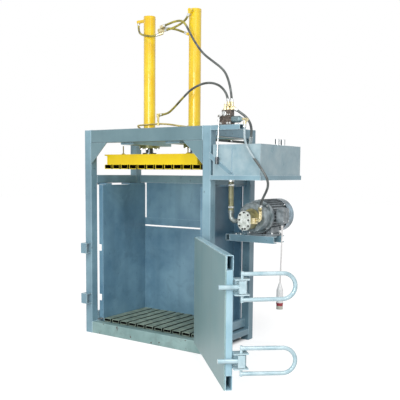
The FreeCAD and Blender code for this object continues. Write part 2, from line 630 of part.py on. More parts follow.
# ---------------------------------------------------------------- oil tank
TANK_X = "frame_half + tank_gap"
node("oil_tank", cut(
    box(TANK_X, "0", TANK_LOW, "tank_width", "tank_depth", "tank_low - tank_high"),
    box(TANK_X + " + tank_wall", "tank_wall", TANK_LOW + " + tank_wall", "tank_width - 2 * tank_wall",
        "tank_depth - 2 * tank_wall", "tank_low - tank_high - 2 * tank_wall")))
BRACE_FOOT = TANK_LOW + " + tank_frame_height"
node("tank_frame", group(
    cut(
        box("frame_half", "-tank_frame_thick", TANK_LOW, "tank_gap + tank_width + tank_frame_thick",
            "tank_depth + 2 * tank_frame_thick", "tank_frame_height"),
        box(TANK_X, "0", TANK_LOW + " - 1", "tank_width", "tank_depth", "tank_frame_height + 2")),
    plate("XZ", [
        ("frame_half - tube_round - 2", BRACE_FOOT + " + brace_rise"),
        ("frame_half - tube_round - 2", BRACE_FOOT + " + brace_rise - brace_width"),
        ("frame_half + brace_near", BRACE_FOOT), ("frame_half + brace_far", BRACE_FOOT)],
        "brace_thick")))
caps = []
for count in range(2):
    place = ("frame_half + cap_out", "cap_back + %d * cap_pitch" % count)
    caps.append(joined(
        rod("z", *place, TANK_HIGH, "neck_radius", "neck_height"),
        rod("z", *place, TANK_HIGH + " + neck_height", "cap_radius", "cap_height")))
node("tank_caps", group(*caps))

# ---------------------------------------------------------------- hoses: route points in order
HOSE_FEED = [
    (863, 40, 2045), (841, 64, 2132), (784, 98, 2252), (726, 120, 2321), (606, 151, 2397),
    (476, 185, 2481), (347, 228, 2621), (244, 269, 2761), (186, 282, 2798), (98, 300, 2801),
    (23, 315, 2792), (-36, 327, 2785)]
HOSE_LEFT = [
    (-384, 397, 2856), (-374, 384, 2819), (-350, 362, 2780), (-313, 336, 2748), (-252, 314, 2725),
    (-191, 316, 2711), (-139, 328, 2709), (-103, 343, 2722)]
HOSE_RIGHT = [
    (-30, 336, 2748), (30, 334, 2752), (85, 331, 2762), (140, 326, 2776), (190, 320, 2795),
    (230, 313, 2822), (254, 308, 2855)]
HOSE_CROSS = [(-36, 356, 2768), (20, 364, 2764), (80, 376, 2747), (130, 386, 2726), (170, 394, 2707)]
HOSE_RETURN = [
    (831, 40, 2047), (813, 53, 2094), (774, 73, 2143), (708, 97, 2192), (615, 123, 2222), (515, 151, 2226),
    (436, 173, 2212), (353, 198, 2188), (265, 228, 2143), (200, 250, 2105), (127, 275, 2063),
    (53, 299, 2024), (-9, 315, 2011), (-70, 333, 2010)]
HOSE_DRAIN = [
    (889, 44, 1992), (929, 56, 1965), (977, 71, 1928), (1004, 85, 1884), (1010, 98, 1838), (1003, 108, 1795),
    (992, 117, 1753)]
HOSE_PRESSURE = [
    (1020, -22, 1866), (1018, -25, 1812), (1023, -27, 1757), (1042, -27, 1702), (1072, -28, 1654),
    (1108, -27, 1606), (1150, -26, 1555), (1190, -23, 1503), (1218, -14, 1452), (1218, 4, 1403),
    (1190, 26, 1356), (1154, 48, 1314), (1124, 70, 1274), (1102, 94, 1232)]
HOSE_SUCTION = [(828, 100, 1426), (830, 100, 1311), (830, 100, 1196)]
TOP = num("frame_height")
PIPE_LINK = [
    (-340, 385, TOP + 20), (-350, 328, TOP + 52), (-230, 316, TOP + 56), (-60, 354, TOP + 63),
    (176, 396, TOP + 28)]
LEAD = [
    (1140, 391, 1070), (1142, 390, 1005), (1139, 388, 930), (1142, 386, 850), (1138, 384, 770),
    (1139, 382, 685), (1136, 380, 600)]

HOSE_SIDES = SIZES["hose_sides"]
node("hose_feed", cord("hose_feed", HOSE_FEED, "hose_radius", HOSE_SIDES))
node("hose_left", cord("hose_left", HOSE_LEFT, "hose_radius", HOSE_SIDES))
node("hose_right", cord("hose_right", HOSE_RIGHT, "hose_radius", HOSE_SIDES))
node("hose_cross", cord("hose_cross", HOSE_CROSS, "hose_radius", HOSE_SIDES))
node("hose_return", cord("hose_return", HOSE_RETURN, "hose_radius", HOSE_SIDES))
node("hose_drain", cord("hose_drain", HOSE_DRAIN, "return_radius", HOSE_SIDES))
node("hose_pressure", cord("hose_pressure", HOSE_PRESSURE, "hose_radius", HOSE_SIDES))
node("hose_suction", cord("hose_suction", HOSE_SUCTION, "suction_hose"))
node("motor_lead", cord("motor_lead", LEAD, "lead_radius", HOSE_SIDES))

BARREL_SIDE = "cylinder_half_spacing + barrel_outer / 2"


def seated(*pieces):
    """Port pieces with their ends hollowed to the barrels' round."""
    return cut(pieces[0] if len(pieces) == 1 else group(*pieces), *[
        rod("z", sign + " * cylinder_half_spacing", "cylinder_back", BED_LOW + " + bed_plate", "barrel_outer / 2",
            BARREL_TOP + " - " + BED_LOW + " - bed_plate")
        for sign in ("-1", "1")])


node("link_pipe", seated(joined(
    cord("link_run", PIPE_LINK, "pipe_radius"),
    ferrule(PIPE_LINK, "tee_radius - 3", "tee_radius"),
    rod("x", "-(" + BARREL_SIDE + ") - 42", "cylinder_back", "frame_height + 11", "tee_radius - 1", "60"),
    ferrule(PIPE_LINK, "tee_radius - 3", "tee_radius", at_end=True),
    rod("x", "cylinder_half_spacing - barrel_outer / 2 - 16", "cylinder_back", "frame_height + 27",
        "tee_radius - 1", "30"),
    rod("z", "-108", "341", "frame_height + 46", "tee_radius - 3", "26"),
    rod("z", "-108", "341", "frame_height + 60", "hose_radius", "66"),
    rod("z", "-108", "341", "frame_height + 120", "tee_radius", "32"),
    ferrule(HOSE_RETURN, "ferrule_radius", "ferrule_length", at_end=True), tidy=False)))
node("cylinder_ports", seated(
    joined(
        rod("x", "-(" + BARREL_SIDE + ") - 88", "cylinder_back", BARREL_TOP + " - 30", "tee_radius", "110"),
        ferrule(HOSE_LEFT, "ferrule_radius", "ferrule_length / 2"), tidy=False),
    joined(
        rod("y", "cylinder_half_spacing + 8", "cylinder_back - barrel_outer / 2 - 48", BARREL_TOP + " - 24",
            "tee_radius", "70"),
        ferrule(HOSE_RIGHT, "ferrule_radius", "ferrule_length", at_end=True), tidy=False),
    joined(
        rod("x", "cylinder_half_spacing - barrel_outer / 2 - 14", "cylinder_back", BARREL_TOP + " - 199",
            "tee_radius - 1", "34"),
        ferrule(HOSE_CROSS, "ferrule_radius - 2", "ferrule_length / 2", at_end=True), tidy=False)))
node("hose_tee", joined(
    rod("x", "-104", "345", "2753", "tee_radius + 5", "48"),
    rod("x", "-60", "345", "2755", "tee_radius + 2", "14"),
    ferrule(HOSE_FEED, "ferrule_radius", "ferrule_length", at_end=True),
    ferrule(HOSE_LEFT, "ferrule_radius", "ferrule_length", at_end=True),
    ferrule(HOSE_RIGHT, "ferrule_radius - 1", "ferrule_length"),
    ferrule(HOSE_CROSS, "ferrule_radius - 2", "ferrule_length - 10"), tidy=False))

# ---------------------------------------------------------------- valve on its shelf
SHELF_TOP = "frame_height"
node("valve_shelf", section(
    "frame_half", "0", SHELF_TOP + " - shelf_height", "shelf_width", "shelf_depth", "shelf_height", "x",
    wall="shelf_wall", corner="shelf_wall - 1"))
VALVE_X = "frame_half + valve_left"
node("valve_body", cut(
    joined(
        box(VALVE_X, "valve_middle - valve_depth / 2", SHELF_TOP, "valve_width", "valve_depth", "valve_height"),
        box(VALVE_X + " + valve_chest_left", "valve_middle - valve_chest / 2",
            SHELF_TOP + " + valve_height", "valve_chest_width", "valve_chest", "valve_chest"),
        rod("y", LEVER_X, "lever_y - lever_hub_length / 2 - 3", LEVER, "lever_pin",
            "valve_middle - lever_y"),
        rod("x", VALVE_X + " + valve_width", "valve_middle", SPOOL, "spring_radius", "spring_length"),
        cone("x", VALVE_X + " + valve_width + spring_length", "valve_middle", SPOOL, "spring_radius",
             "spool_radius", "spring_nose")),
    rod("x", VALVE_X + " - 1", "valve_middle", SPOOL, "spool_radius + slide_gap",
        "valve_width + spring_length - spring_wall")))
node("valve_spool", rod(
    "x", VALVE_X + " - spool_out", "valve_middle", SPOOL, "spool_radius", "spool_length"))
TAP, TAP_LEVEL = num(VALVE_X + " + valve_width"), num(SPOOL)
INLET = [(TAP + 90, 36, TAP_LEVEL), (TAP + 143, 36, TAP_LEVEL), (TAP + 145, -22, TAP_LEVEL - 32)]
CHEST_TOP = SHELF_TOP + " + valve_height + valve_chest"
top_ports = cut(
    joined(
        rod("z", VALVE_X + " + 100", "valve_middle", CHEST_TOP, "port_radius", "27"),
        rod("z", VALVE_X + " + 68", "valve_middle", CHEST_TOP, "port_radius", "27"),
        rod("z", VALVE_X + " + 41", "valve_middle", CHEST_TOP, "port_radius - 1", "16"),
        rod("z", VALVE_X + " + 41", "valve_middle", CHEST_TOP, "port_radius - 5", "47"),
        ferrule(HOSE_FEED, "ferrule_radius", "ferrule_length"),
        ferrule(HOSE_RETURN, "ferrule_radius", "ferrule_length"),
        ferrule(HOSE_DRAIN, "ferrule_radius", "ferrule_length / 2"), tidy=False),
    box("0", "-100", "0", "frame_half * 2", "300", CHEST_TOP))
node("valve_fittings", group(top_ports, joined(
    cord("inlet_bend", INLET, "hose_radius"),
    ferrule(HOSE_PRESSURE, "ferrule_radius - 2", "ferrule_length / 2"), tidy=False)))


def leaned(*pieces):
    """Pieces drawn upright below the lever's pin, leaned to the lever's resting angle."""
    item = group(*pieces)
    item.Placement = FreeCAD.Placement(FreeCAD.Vector(), FreeCAD.Rotation(WAYS["y"], 0))
    item.setExpression("Placement.Rotation.Angle", bound("lever_lean"))
    return put(item, LEVER_X, "lever_y", LEVER)


hub = cut(
    joined(
        rod("y", "0", "-lever_hub_length / 2", "0", "lever_hub", "lever_hub_length"),
        rod("z", "0", "0", "-lever_length", "lever_radius", "lever_length")),
    rod("y", "0", "-lever_hub_length", "0", "lever_pin + slide_gap", "2 * lever_hub_length"))
node("valve_lever", leaned(hub))
node("lever_knob", leaned(
    rod("z", "0", "0", "-lever_length - knob_length", "knob_radius", "knob_length")))

# ---------------------------------------------------------------- pump and motor
def oblong(y, radius, length, middle=DRIVE_X):
    """Two round lobes, one over the other, with straight flanks."""
    return joined(
        rod("y", middle, y, "drive_height", radius, length),
        rod("y", middle, y, "drive_height - pump_drop", radius, length),
        box(middle + " - " + radius, y, "drive_height - pump_drop", "2 * " + radius, length, "pump_drop"))


node("pump_cover", oblong("pump_front", "pump_radius", "pump_cover"))
PUMP_BODY = "(pump_radius - pump_inset)"
node("pump_body", joined(
    oblong("pump_front + pump_cover", PUMP_BODY, "bell_front - pump_front - pump_cover"),
    rod("y", DRIVE_X, "bell_front - 10", "drive_height", "pump_radius + 14", "10")))
node("bell_housing", cut(
    joined(
        rod("y", DRIVE_X, "bell_front", "drive_height", "bell_radius", "motor_front - bell_front"),
        rod("y", DRIVE_X, "motor_front - bell_wall", "drive_height", "flange_radius", "bell_wall")),
    rod("y", DRIVE_X, "bell_front + bell_wall", "drive_height", "bell_radius - bell_wall",
        "motor_front - bell_front"),
    box(DRIVE_X + " - 34", "bell_front + 34", "drive_height", "68", "56", "bell_radius * 2")))
fins = []
for count in range(SIZES["fin_count"]):
    fin = box("0", "0", "-fin_thick / 2", "motor_radius", "motor_back - motor_front - flange_length", "fin_thick")
    turned = group(fin)
    turned.Placement = FreeCAD.Placement(FreeCAD.Vector(), FreeCAD.Rotation(WAYS["y"], 0))
    turned.setExpression("Placement.Rotation.Angle", bound("(%d + 0.5) * 360 / fin_count" % count))
    fins.append(put(turned, DRIVE_X, "motor_front + flange_length", "drive_height"))
shell = joined(
    rod("y", DRIVE_X, "motor_front", "drive_height", "motor_core", "motor_back - motor_front"),
    rod("y", DRIVE_X, "motor_front", "drive_height", "flange_radius", "flange_length"),
    *fins,
    box(DRIVE_X + " - base_half", "channel_front + 6", CHANNEL_TOP, "2 * base_half", "base_depth", "foot_thick"),
    box(DRIVE_X + " - leg_half", "channel_front + 20", CHANNEL_TOP, "leg_width", "base_depth - 28",
        "channel_top - motor_bore / 2"),
    box(DRIVE_X + " + leg_half - leg_width", "channel_front + 20", CHANNEL_TOP, "leg_width", "base_depth - 28",
        "channel_top - motor_bore / 2"),
    box(DRIVE_X + " + motor_core - 30", "box_front + 14", BOX_LOW + " + 20", "box_in - motor_core + 30",
        "box_depth - 28", "box_height - 40"))
node("motor_shell", cut(
    shell,
    rod("y", DRIVE_X, "motor_front + bell_wall", "drive_height", "motor_bore",
        "motor_back - motor_front - 2 * bell_wall"),
    rod("y", DRIVE_X, "motor_front - 1", "drive_height", "shaft_radius + slide_gap",
        "motor_back - motor_front + 2")))
grille = [rod("y", DRIVE_X, "motor_back", "drive_height", "motor_radius - cowl_wall",
              "cowl_back - motor_back - cowl_wall")]
for count in range(SIZES["cowl_slots"]):
    slot = box("cowl_hub", "0", "-cowl_slot / 2", "cowl_rim - cowl_hub", "3 * cowl_wall", "cowl_slot")
    turned = group(slot)
    turned.Placement = FreeCAD.Placement(FreeCAD.Vector(), FreeCAD.Rotation(WAYS["y"], 0))
    turned.setExpression("Placement.Rotation.Angle", bound("%d * 360 / cowl_slots" % count))
    grille.append(put(turned, DRIVE_X, "cowl_back - 2 * cowl_wall", "drive_height"))
node("fan_cowl", cut(
    rod("y", DRIVE_X, "motor_back", "drive_height", "motor_radius", "cowl_back - motor_back"), *grille))
blades = []
for count in range(SIZES["fan_blades"]):
    blade = box("shaft_radius", "0", "-2", "fan_radius - shaft_radius", "34", "4")
    turned = group(blade)
    turned.Placement = FreeCAD.Placement(FreeCAD.Vector(), FreeCAD.Rotation(WAYS["y"], 0))
    turned.setExpression("Placement.Rotation.Angle", bound("%d * 360 / fan_blades" % count))
    blades.append(put(turned, DRIVE_X, "motor_back + 24", "drive_height"))
node("motor_rotor", joined(
    rod("y", DRIVE_X, "shaft_front", "drive_height", "shaft_radius", "motor_back + 66 - shaft_front"),
    rod("y", DRIVE_X, "motor_front + 40", "drive_height", "rotor_radius", "motor_back - motor_front - 80"),
    rod("y", DRIVE_X, "shaft_front", "drive_height", "shaft_radius + 24", "66"),
    rod("y", DRIVE_X, "motor_back + 22", "drive_height", "shaft_radius + 14", "38"),
    *blades))
node("motor_channels", group(*[
    plate("YZ", [
        (start, CHANNEL_LOW), (start + " + channel_depth", CHANNEL_LOW),
        (start + " + channel_depth", CHANNEL_LOW + " + channel_wall"),
        (start + " + channel_wall", CHANNEL_LOW + " + channel_wall"),
        (start + " + channel_wall", CHANNEL_TOP + " - channel_wall"),
        (start + " + channel_depth", CHANNEL_TOP + " - channel_wall"),
        (start + " + channel_depth", CHANNEL_TOP), (start, CHANNEL_TOP)],
        "channel_length", x="frame_half")
    for start in ("channel_front", "channel_front + channel_pitch")]))
node("terminal_box", joined(
    box(BOX_X, "box_front", BOX_LOW, "box_width - 8", "box_depth", "box_height"),
    box(BOX_X + " + box_width - 8", "box_front - 3", BOX_LOW + " - 3", "8", "box_depth + 6", "box_height + 6"),
    rod("z", BOX_X + " + box_width / 2 - 1", "box_front + box_depth / 2", BOX_LOW + " - 22", "gland_nut", "23")))
DRIVE, AXIS = num(DRIVE_X), num("drive_height")
ELBOW = [(DRIVE - 145, 100, AXIS + 54), (DRIVE - 145, 100, AXIS - 30), (DRIVE - 52, 100, AXIS - 30)]
node("suction_elbow", joined(
    cord("suction_bend", ELBOW, "suction_hose - 2"),
    rod("z", DRIVE_X + " - 145", "100", "drive_height + 30", "collar_radius", "24")))
OUTLET = [(DRIVE + 79, 100, AXIS - 21), (DRIVE + 123, 100, AXIS - 15), (DRIVE + 126, 97, AXIS + 58)]
node("pressure_elbow", joined(
    box(DRIVE_X + " + " + PUMP_BODY, "78", "drive_height - 44", "36", "44", "46"),
    cord("pressure_bend", OUTLET, "hose_radius + 4"),
    ferrule(HOSE_PRESSURE, "ferrule_radius + 1", "ferrule_length", at_end=True), tidy=False))
tank_block = [box(TANK_X, "0", TANK_LOW, "tank_width", "tank_depth", "tank_low - tank_high") for _ in range(2)]
node("tank_ports", group(
    cut(ferrule(HOSE_SUCTION, "collar_radius", "ferrule_length"), tank_block[0]),
    cut(ferrule(HOSE_DRAIN, "ferrule_radius", "ferrule_length + 10", at_end=True), tank_block[1])))
PLUG = ("1136", "380")
node("lead_plug", joined(
    rod("z", *PLUG, "plug_low", "plug_radius", "plug_shoulder - plug_low"),
    rod("z", *PLUG, "plug_band_low", "plug_radius + 2", "plug_band"),
    cone("z", *PLUG, "plug_shoulder", "plug_radius", "lead_radius + 3", "plug_top - plug_shoulder")))

# ---------------------------------------------------------------- checks and export
doc.recompute()
faults = [
    item.Label for item in doc.Objects
    if any(word in ("Error", "Invalid") for word in getattr(item, "State", []))]
if faults:
    raise RuntimeError("objects in error: " + ", ".join(faults))
facets = 0
bad = [
    item.Label for item in finished
    if item.Shape.isNull() or not item.Shape.isValid() or item.Shape.Volume <= 0 or not item.Shape.Solids]
if bad:
    raise RuntimeError("bad shapes: " + ", ".join(bad))
for item in finished:
    shape = item.Shape
    count = len(shape.tessellate(0.3)[1])
    facets += count
    low, high = shape.BoundBox, shape.BoundBox
    print("%-18s solids %2d facets %5d x %6.0f %6.0f y %6.0f %6.0f z %6.0f %6.0f" % (
        item.Label, len(shape.Solids), count, low.XMin, high.XMax, low.YMin, high.YMax, low.ZMin, high.ZMax))
    shape.exportStep("parts/" + item.Label + ".step")
print("sub-parts %d, facets %d" % (len(finished), facets))
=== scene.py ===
"""Dresses the upright twin-cylinder baler: paints, fasteners, welds, hoses, lead, studio and camera.

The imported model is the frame. Every rigid piece keeps its own shape and gets its finish here. The
hoses and the motor's lead are drawn anew as smooth cords along their routes. The small things that
a solid model leaves out, such as bolts, nuts, weld beads and crimps, are added as closed shells.
Lengths are millimetres unless a comment says metres.
"""

import json
import logging
import math
from dataclasses import dataclass, field
from enum import Enum

import bpy
import numpy as np
from mathutils import Matrix, Vector

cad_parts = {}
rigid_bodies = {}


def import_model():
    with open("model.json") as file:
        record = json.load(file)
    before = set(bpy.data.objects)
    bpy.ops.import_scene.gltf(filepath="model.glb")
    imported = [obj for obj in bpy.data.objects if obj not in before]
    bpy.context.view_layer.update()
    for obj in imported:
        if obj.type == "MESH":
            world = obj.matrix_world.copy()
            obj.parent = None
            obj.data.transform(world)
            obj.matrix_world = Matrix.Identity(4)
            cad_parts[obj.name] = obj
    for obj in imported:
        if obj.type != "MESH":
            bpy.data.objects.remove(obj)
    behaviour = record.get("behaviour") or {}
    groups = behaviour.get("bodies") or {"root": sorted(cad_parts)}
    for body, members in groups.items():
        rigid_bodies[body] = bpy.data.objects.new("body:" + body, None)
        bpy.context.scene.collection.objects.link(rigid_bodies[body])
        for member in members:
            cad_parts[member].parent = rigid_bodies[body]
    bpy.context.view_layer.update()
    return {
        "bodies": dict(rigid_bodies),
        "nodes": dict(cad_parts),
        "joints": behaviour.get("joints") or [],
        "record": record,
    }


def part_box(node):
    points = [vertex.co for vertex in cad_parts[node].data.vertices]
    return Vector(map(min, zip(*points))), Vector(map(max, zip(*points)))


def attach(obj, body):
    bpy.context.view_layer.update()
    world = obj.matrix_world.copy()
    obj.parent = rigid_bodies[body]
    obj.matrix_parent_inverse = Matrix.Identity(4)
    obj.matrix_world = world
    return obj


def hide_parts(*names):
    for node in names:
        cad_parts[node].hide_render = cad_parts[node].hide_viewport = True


LOG = logging.getLogger("baler")
MM = 0.001
Place = tuple[float, float, float]
Colour = tuple[float, float, float, float]
Profile = tuple[tuple[float, float], ...]
Reach = tuple[float, float]
Tree = bpy.types.NodeTree
Socket = bpy.types.NodeSocket

FRONT: Place = (0, -1, 0)
UP: Place = (0, 0, 1)
DOWN: Place = (0, 0, -1)
RIGHT: Place = (1, 0, 0)
WHITE: Colour = (1.0, 1.0, 1.0, 1.0)

# the Mix node's sockets for colours
SHARE, FIRST, SECOND, MIXED = 0, 6, 7, 2
# values between which a mark fades in: of noise, of the cosine across a rim (pale rims, partly wear and
# partly painted highlight), of the normal's |x| on a side face and of the open share of a nook (both
# painted shade)
MOTTLE_REACH: Reach = (0.36, 0.66)
STREAK_REACH: Reach = (0.48, 0.76)
SMUDGE_REACH: Reach = (0.5, 0.72)
CHIP_REACH: Reach = (0.67, 0.71)
RIM_REACH: Reach = (0.995, 0.90)
FLANK_REACH: Reach = (0.4, 0.8)
NOOK_REACH: Reach = (0.75, 0.2)
# with the noise's 1.3 per metre, streaks some 85 mm wide and 960 mm tall
STREAK_SCALE: Place = (9.0, 9.0, 0.8)
# how deep the grain goes, in metres
BUMP_DEPTH = 0.002
# a bolt's head height, top radius and washer over its width, and its chamfer's start over its height
HEAD, CROWN, WASHER, CHAMFER = 0.55, 0.42, 0.12, 0.85
# a weld's ripple and end radius over its mean radius, and its points per ripple
RIPPLE, WELD_END, RIPPLE_POINTS = 0.18, 0.5, 4
SHARP_DEG = 32.0
# points measured along each of a cord's parabolas
CURVE_STEPS = 25
# the z of a unit way past which it counts as upright
STEEP = 0.9


def linear(code: str) -> Colour:
    """Turns an sRGB hex value to linear colour.

    Each channel c becomes c / 12.92 below 0.04045 and ((c + 0.055) / 1.055) ** 2.4 above it.

    Args:
        code: six hex digits after a hash.

    Returns:
        Linear red, green, blue and an alpha of 1.
    """
    raw = [int(code[i:i + 2], 16) / 255 for i in (1, 3, 5)]
    curve = [c / 12.92 if c <= 0.04045 else ((c + 0.055) / 1.055) ** 2.4 for c in raw]
    return (curve[0], curve[1], curve[2], 1.0)


def add(tree: Tree, kind: str, links: dict | None = None, **settings: object) -> bpy.types.Node:
    """Adds a shader node, sets its properties and links its inputs.

    Args:
        tree: the node tree to add to.
        kind: the node's type name after "ShaderNode".
        links: input name or index to an output socket or a plain value.
        settings: properties of the node.

    Returns:
        The new node.
    """
    node = tree.nodes.new("ShaderNode" + kind)
    for name, value in settings.items():
        setattr(node, name, value)
    for name, value in (links or {}).items():
        if isinstance(value, Socket):
            tree.links.new(value, node.inputs[name])
        else:
            node.inputs[name].default_value = value
    return node


def stand(name: str, data: bpy.types.ID) -> bpy.types.Object:
    """Makes an object of some data and puts it in the scene.

    Args:
        name: the object's name.
        data: a mesh, curve, lamp or camera.

    Returns:
        The new object.
    """
    obj = bpy.data.objects.new(name, data)
    bpy.context.scene.collection.objects.link(obj)
    return obj


def blank(owner: bpy.types.Material | bpy.types.World) -> Tree:
    """Gives the emptied node tree of a material or world.

    Args:
        owner: the material or world.

    Returns:
        Its node tree.
    """
    owner.use_nodes = True
    owner.node_tree.nodes.clear()
    return owner.node_tree


@dataclass(frozen=True)
class Band:
    """A stretch of another colour: every point above an edge on one axis."""

    axis: int
    above_mm: float
    base: str
    worn: str


@dataclass(frozen=True)
class Finish:
    """A surface's look: its colours, its gloss and the real size of its mottling, marks and grain.

    The strengths of mottle, streak, smudge, chips, edge, crevice_shade and flank_shade are shares from 0 to
    1.
    The edge lays pale rims, partly wear and partly painted highlight; the last two lay painted shade in
    corners and on faces turned along x.
    """

    name: str
    base: str
    worn: str
    grime_and_shade: str = "#3B474D"
    rough: float = 0.4
    rough_spread: float = 0.1
    metal: float = 0.0
    coat: float = 0.0
    mottle_mm: float = 180.0
    mottle: float = 0.5
    streak: float = 0.0
    smudge: float = 0.0
    smudge_mm: float = 90.0
    chips: float = 0.0
    chip_mm: float = 14.0
    grain_mm: float = 6.0
    bump: float = 0.05
    edge: float = 0.0
    edge_mm: float = 4.0
    rim_wear_and_highlight: str = ""
    crevice_shade: float = 0.0
    crevice_shade_mm: float = 30.0
    flank_shade: float = 0.0
    bands: tuple[Band, ...] = ()

    def tone(self, tree: Tree, place: Socket, broad: Socket) -> Socket:
        """Builds the colour: mottled paint and bands, then each mark laid over what is there.

        Args:
            tree: the material's node tree.
            place: Object coordinates.
            broad: the broad noise, from 0 to 1.

        Returns:
            The colour's socket.
        """
        colour = self.lay(tree, linear(self.base), broad, MOTTLE_REACH, self.mottle, self.worn)
        if self.bands:
            parts = add(tree, "SeparateXYZ", {"Vector": place})
        for band in self.bands:
            over = add(tree, "Math", {0: parts.outputs[band.axis], 1: band.above_mm * MM},
                       operation="GREATER_THAN")
            other = self.lay(tree, linear(band.base), broad, MOTTLE_REACH, self.mottle, band.worn)
            colour = add(tree, "Mix", {SHARE: over.outputs["Value"], FIRST: colour, SECOND: other},
                         data_type="RGBA").outputs[MIXED]
        if self.streak:
            tall = add(tree, "Mapping", {"Vector": place, "Scale": STREAK_SCALE})
            runs = add(tree, "TexNoise", {"Vector": tall.outputs["Vector"], "Scale": 1.3, "Detail": 5.0})
            colour = self.lay(tree, colour, runs.outputs["Fac"], STREAK_REACH, self.streak)
        if self.smudge:
            cloud = add(tree, "TexNoise", {"Vector": place, "Scale": 1000 / self.smudge_mm, "Detail": 6.0,
                                           "Roughness": 0.7, "Distortion": 0.8})
            colour = self.lay(tree, colour, cloud.outputs["Fac"], SMUDGE_REACH, self.smudge)
        if self.chips:
            specks = add(tree, "TexNoise", {"Vector": place, "Scale": 1000 / self.chip_mm, "Detail": 3.0})
            colour = self.lay(tree, colour, specks.outputs["Fac"], CHIP_REACH, self.chips)
        # pale rims where the bevelled normal turns from the face's: partly wear, partly painted highlight
        if self.edge:
            soft = add(tree, "Bevel", {"Radius": self.edge_mm * MM}, samples=4)
            flat = add(tree, "NewGeometry")
            turn = add(tree, "VectorMath", {0: soft.outputs["Normal"], 1: flat.outputs["Normal"]},
                       operation="DOT_PRODUCT")
            colour = self.lay(tree, colour, turn.outputs["Value"], RIM_REACH, self.edge,
                              self.rim_wear_and_highlight or self.worn)
        # painted shade: faces turned along x, such as the insides of tubes, darken towards the grime and
        # shade colour
        if self.flank_shade:
            facing = add(tree, "SeparateXYZ", {"Vector": add(tree, "NewGeometry").outputs["True Normal"]})
            aside = add(tree, "Math", {0: facing.outputs["X"]}, operation="ABSOLUTE")
            colour = self.lay(tree, colour, aside.outputs["Value"], FLANK_REACH, self.flank_shade)
        # painted shade: corners and hollows that the ambient occlusion finds closed in darken towards the
        # grime and shade colour
        if self.crevice_shade:
            nook = add(tree, "AmbientOcclusion", {"Distance": self.crevice_shade_mm * MM}, samples=6,
                       only_local=True)
            colour = self.lay(tree, colour, nook.outputs["AO"], NOOK_REACH, self.crevice_shade)
        return colour

    def lay(self, tree: Tree, under: Socket | Colour, source: Socket, reach: Reach, strength: float,
            tint: str = "") -> Socket:
        """Lays a mark over a colour, its share rising evenly from 0 to strength along the reach.

        Args:
            tree: the material's node tree.
            under: the colour below.
            source: what the mark follows.
            reach: the source's values where the mark begins and where it is full.
            strength: the mark's greatest share.
            tint: the mark's sRGB hex value, or "" for the colour of grime and painted shade.

        Returns:
            The colour's socket.
        """
        share = add(tree, "MapRange", {"Value": source, "From Min": reach[0], "From Max": reach[1],
                                       "To Max": strength}).outputs["Result"]
        return add(tree, "Mix", {SHARE: share, FIRST: under, SECOND: linear(tint or self.grime_and_shade)},
                   data_type="RGBA").outputs[MIXED]

    def build(self) -> bpy.types.Material:
        """Makes the node material.

        The colour comes from tone, the roughness follows the broad noise, and a fine noise gives
        the bump its grain.

        Returns:
            The finished material.
        """
        mat = bpy.data.materials.new(self.name)
        tree = blank(mat)
        place = add(tree, "TexCoord").outputs["Object"]
        broad = add(tree, "TexNoise", {"Vector": place, "Scale": 1000 / self.mottle_mm, "Detail": 4.0,
                                       "Roughness": 0.6}).outputs["Fac"]
        fine = add(tree, "TexNoise", {"Vector": place, "Scale": 1000 / self.grain_mm, "Detail": 2.0})
        gloss = add(tree, "MapRange", {"Value": broad, "To Min": self.rough - self.rough_spread,
                                       "To Max": self.rough + self.rough_spread})
        relief = add(tree, "Bump", {"Height": fine.outputs["Fac"], "Strength": self.bump,
                                    "Distance": BUMP_DEPTH})
        shader = add(tree, "BsdfPrincipled", {
            "Base Color": self.tone(tree, place, broad), "Roughness": gloss.outputs["Result"],
            "Metallic": self.metal, "Coat Weight": self.coat, "Normal": relief.outputs["Normal"]})
        add(tree, "OutputMaterial", {"Surface": shader.outputs["BSDF"]})
        mat.diffuse_color = linear(self.base)
        return mat


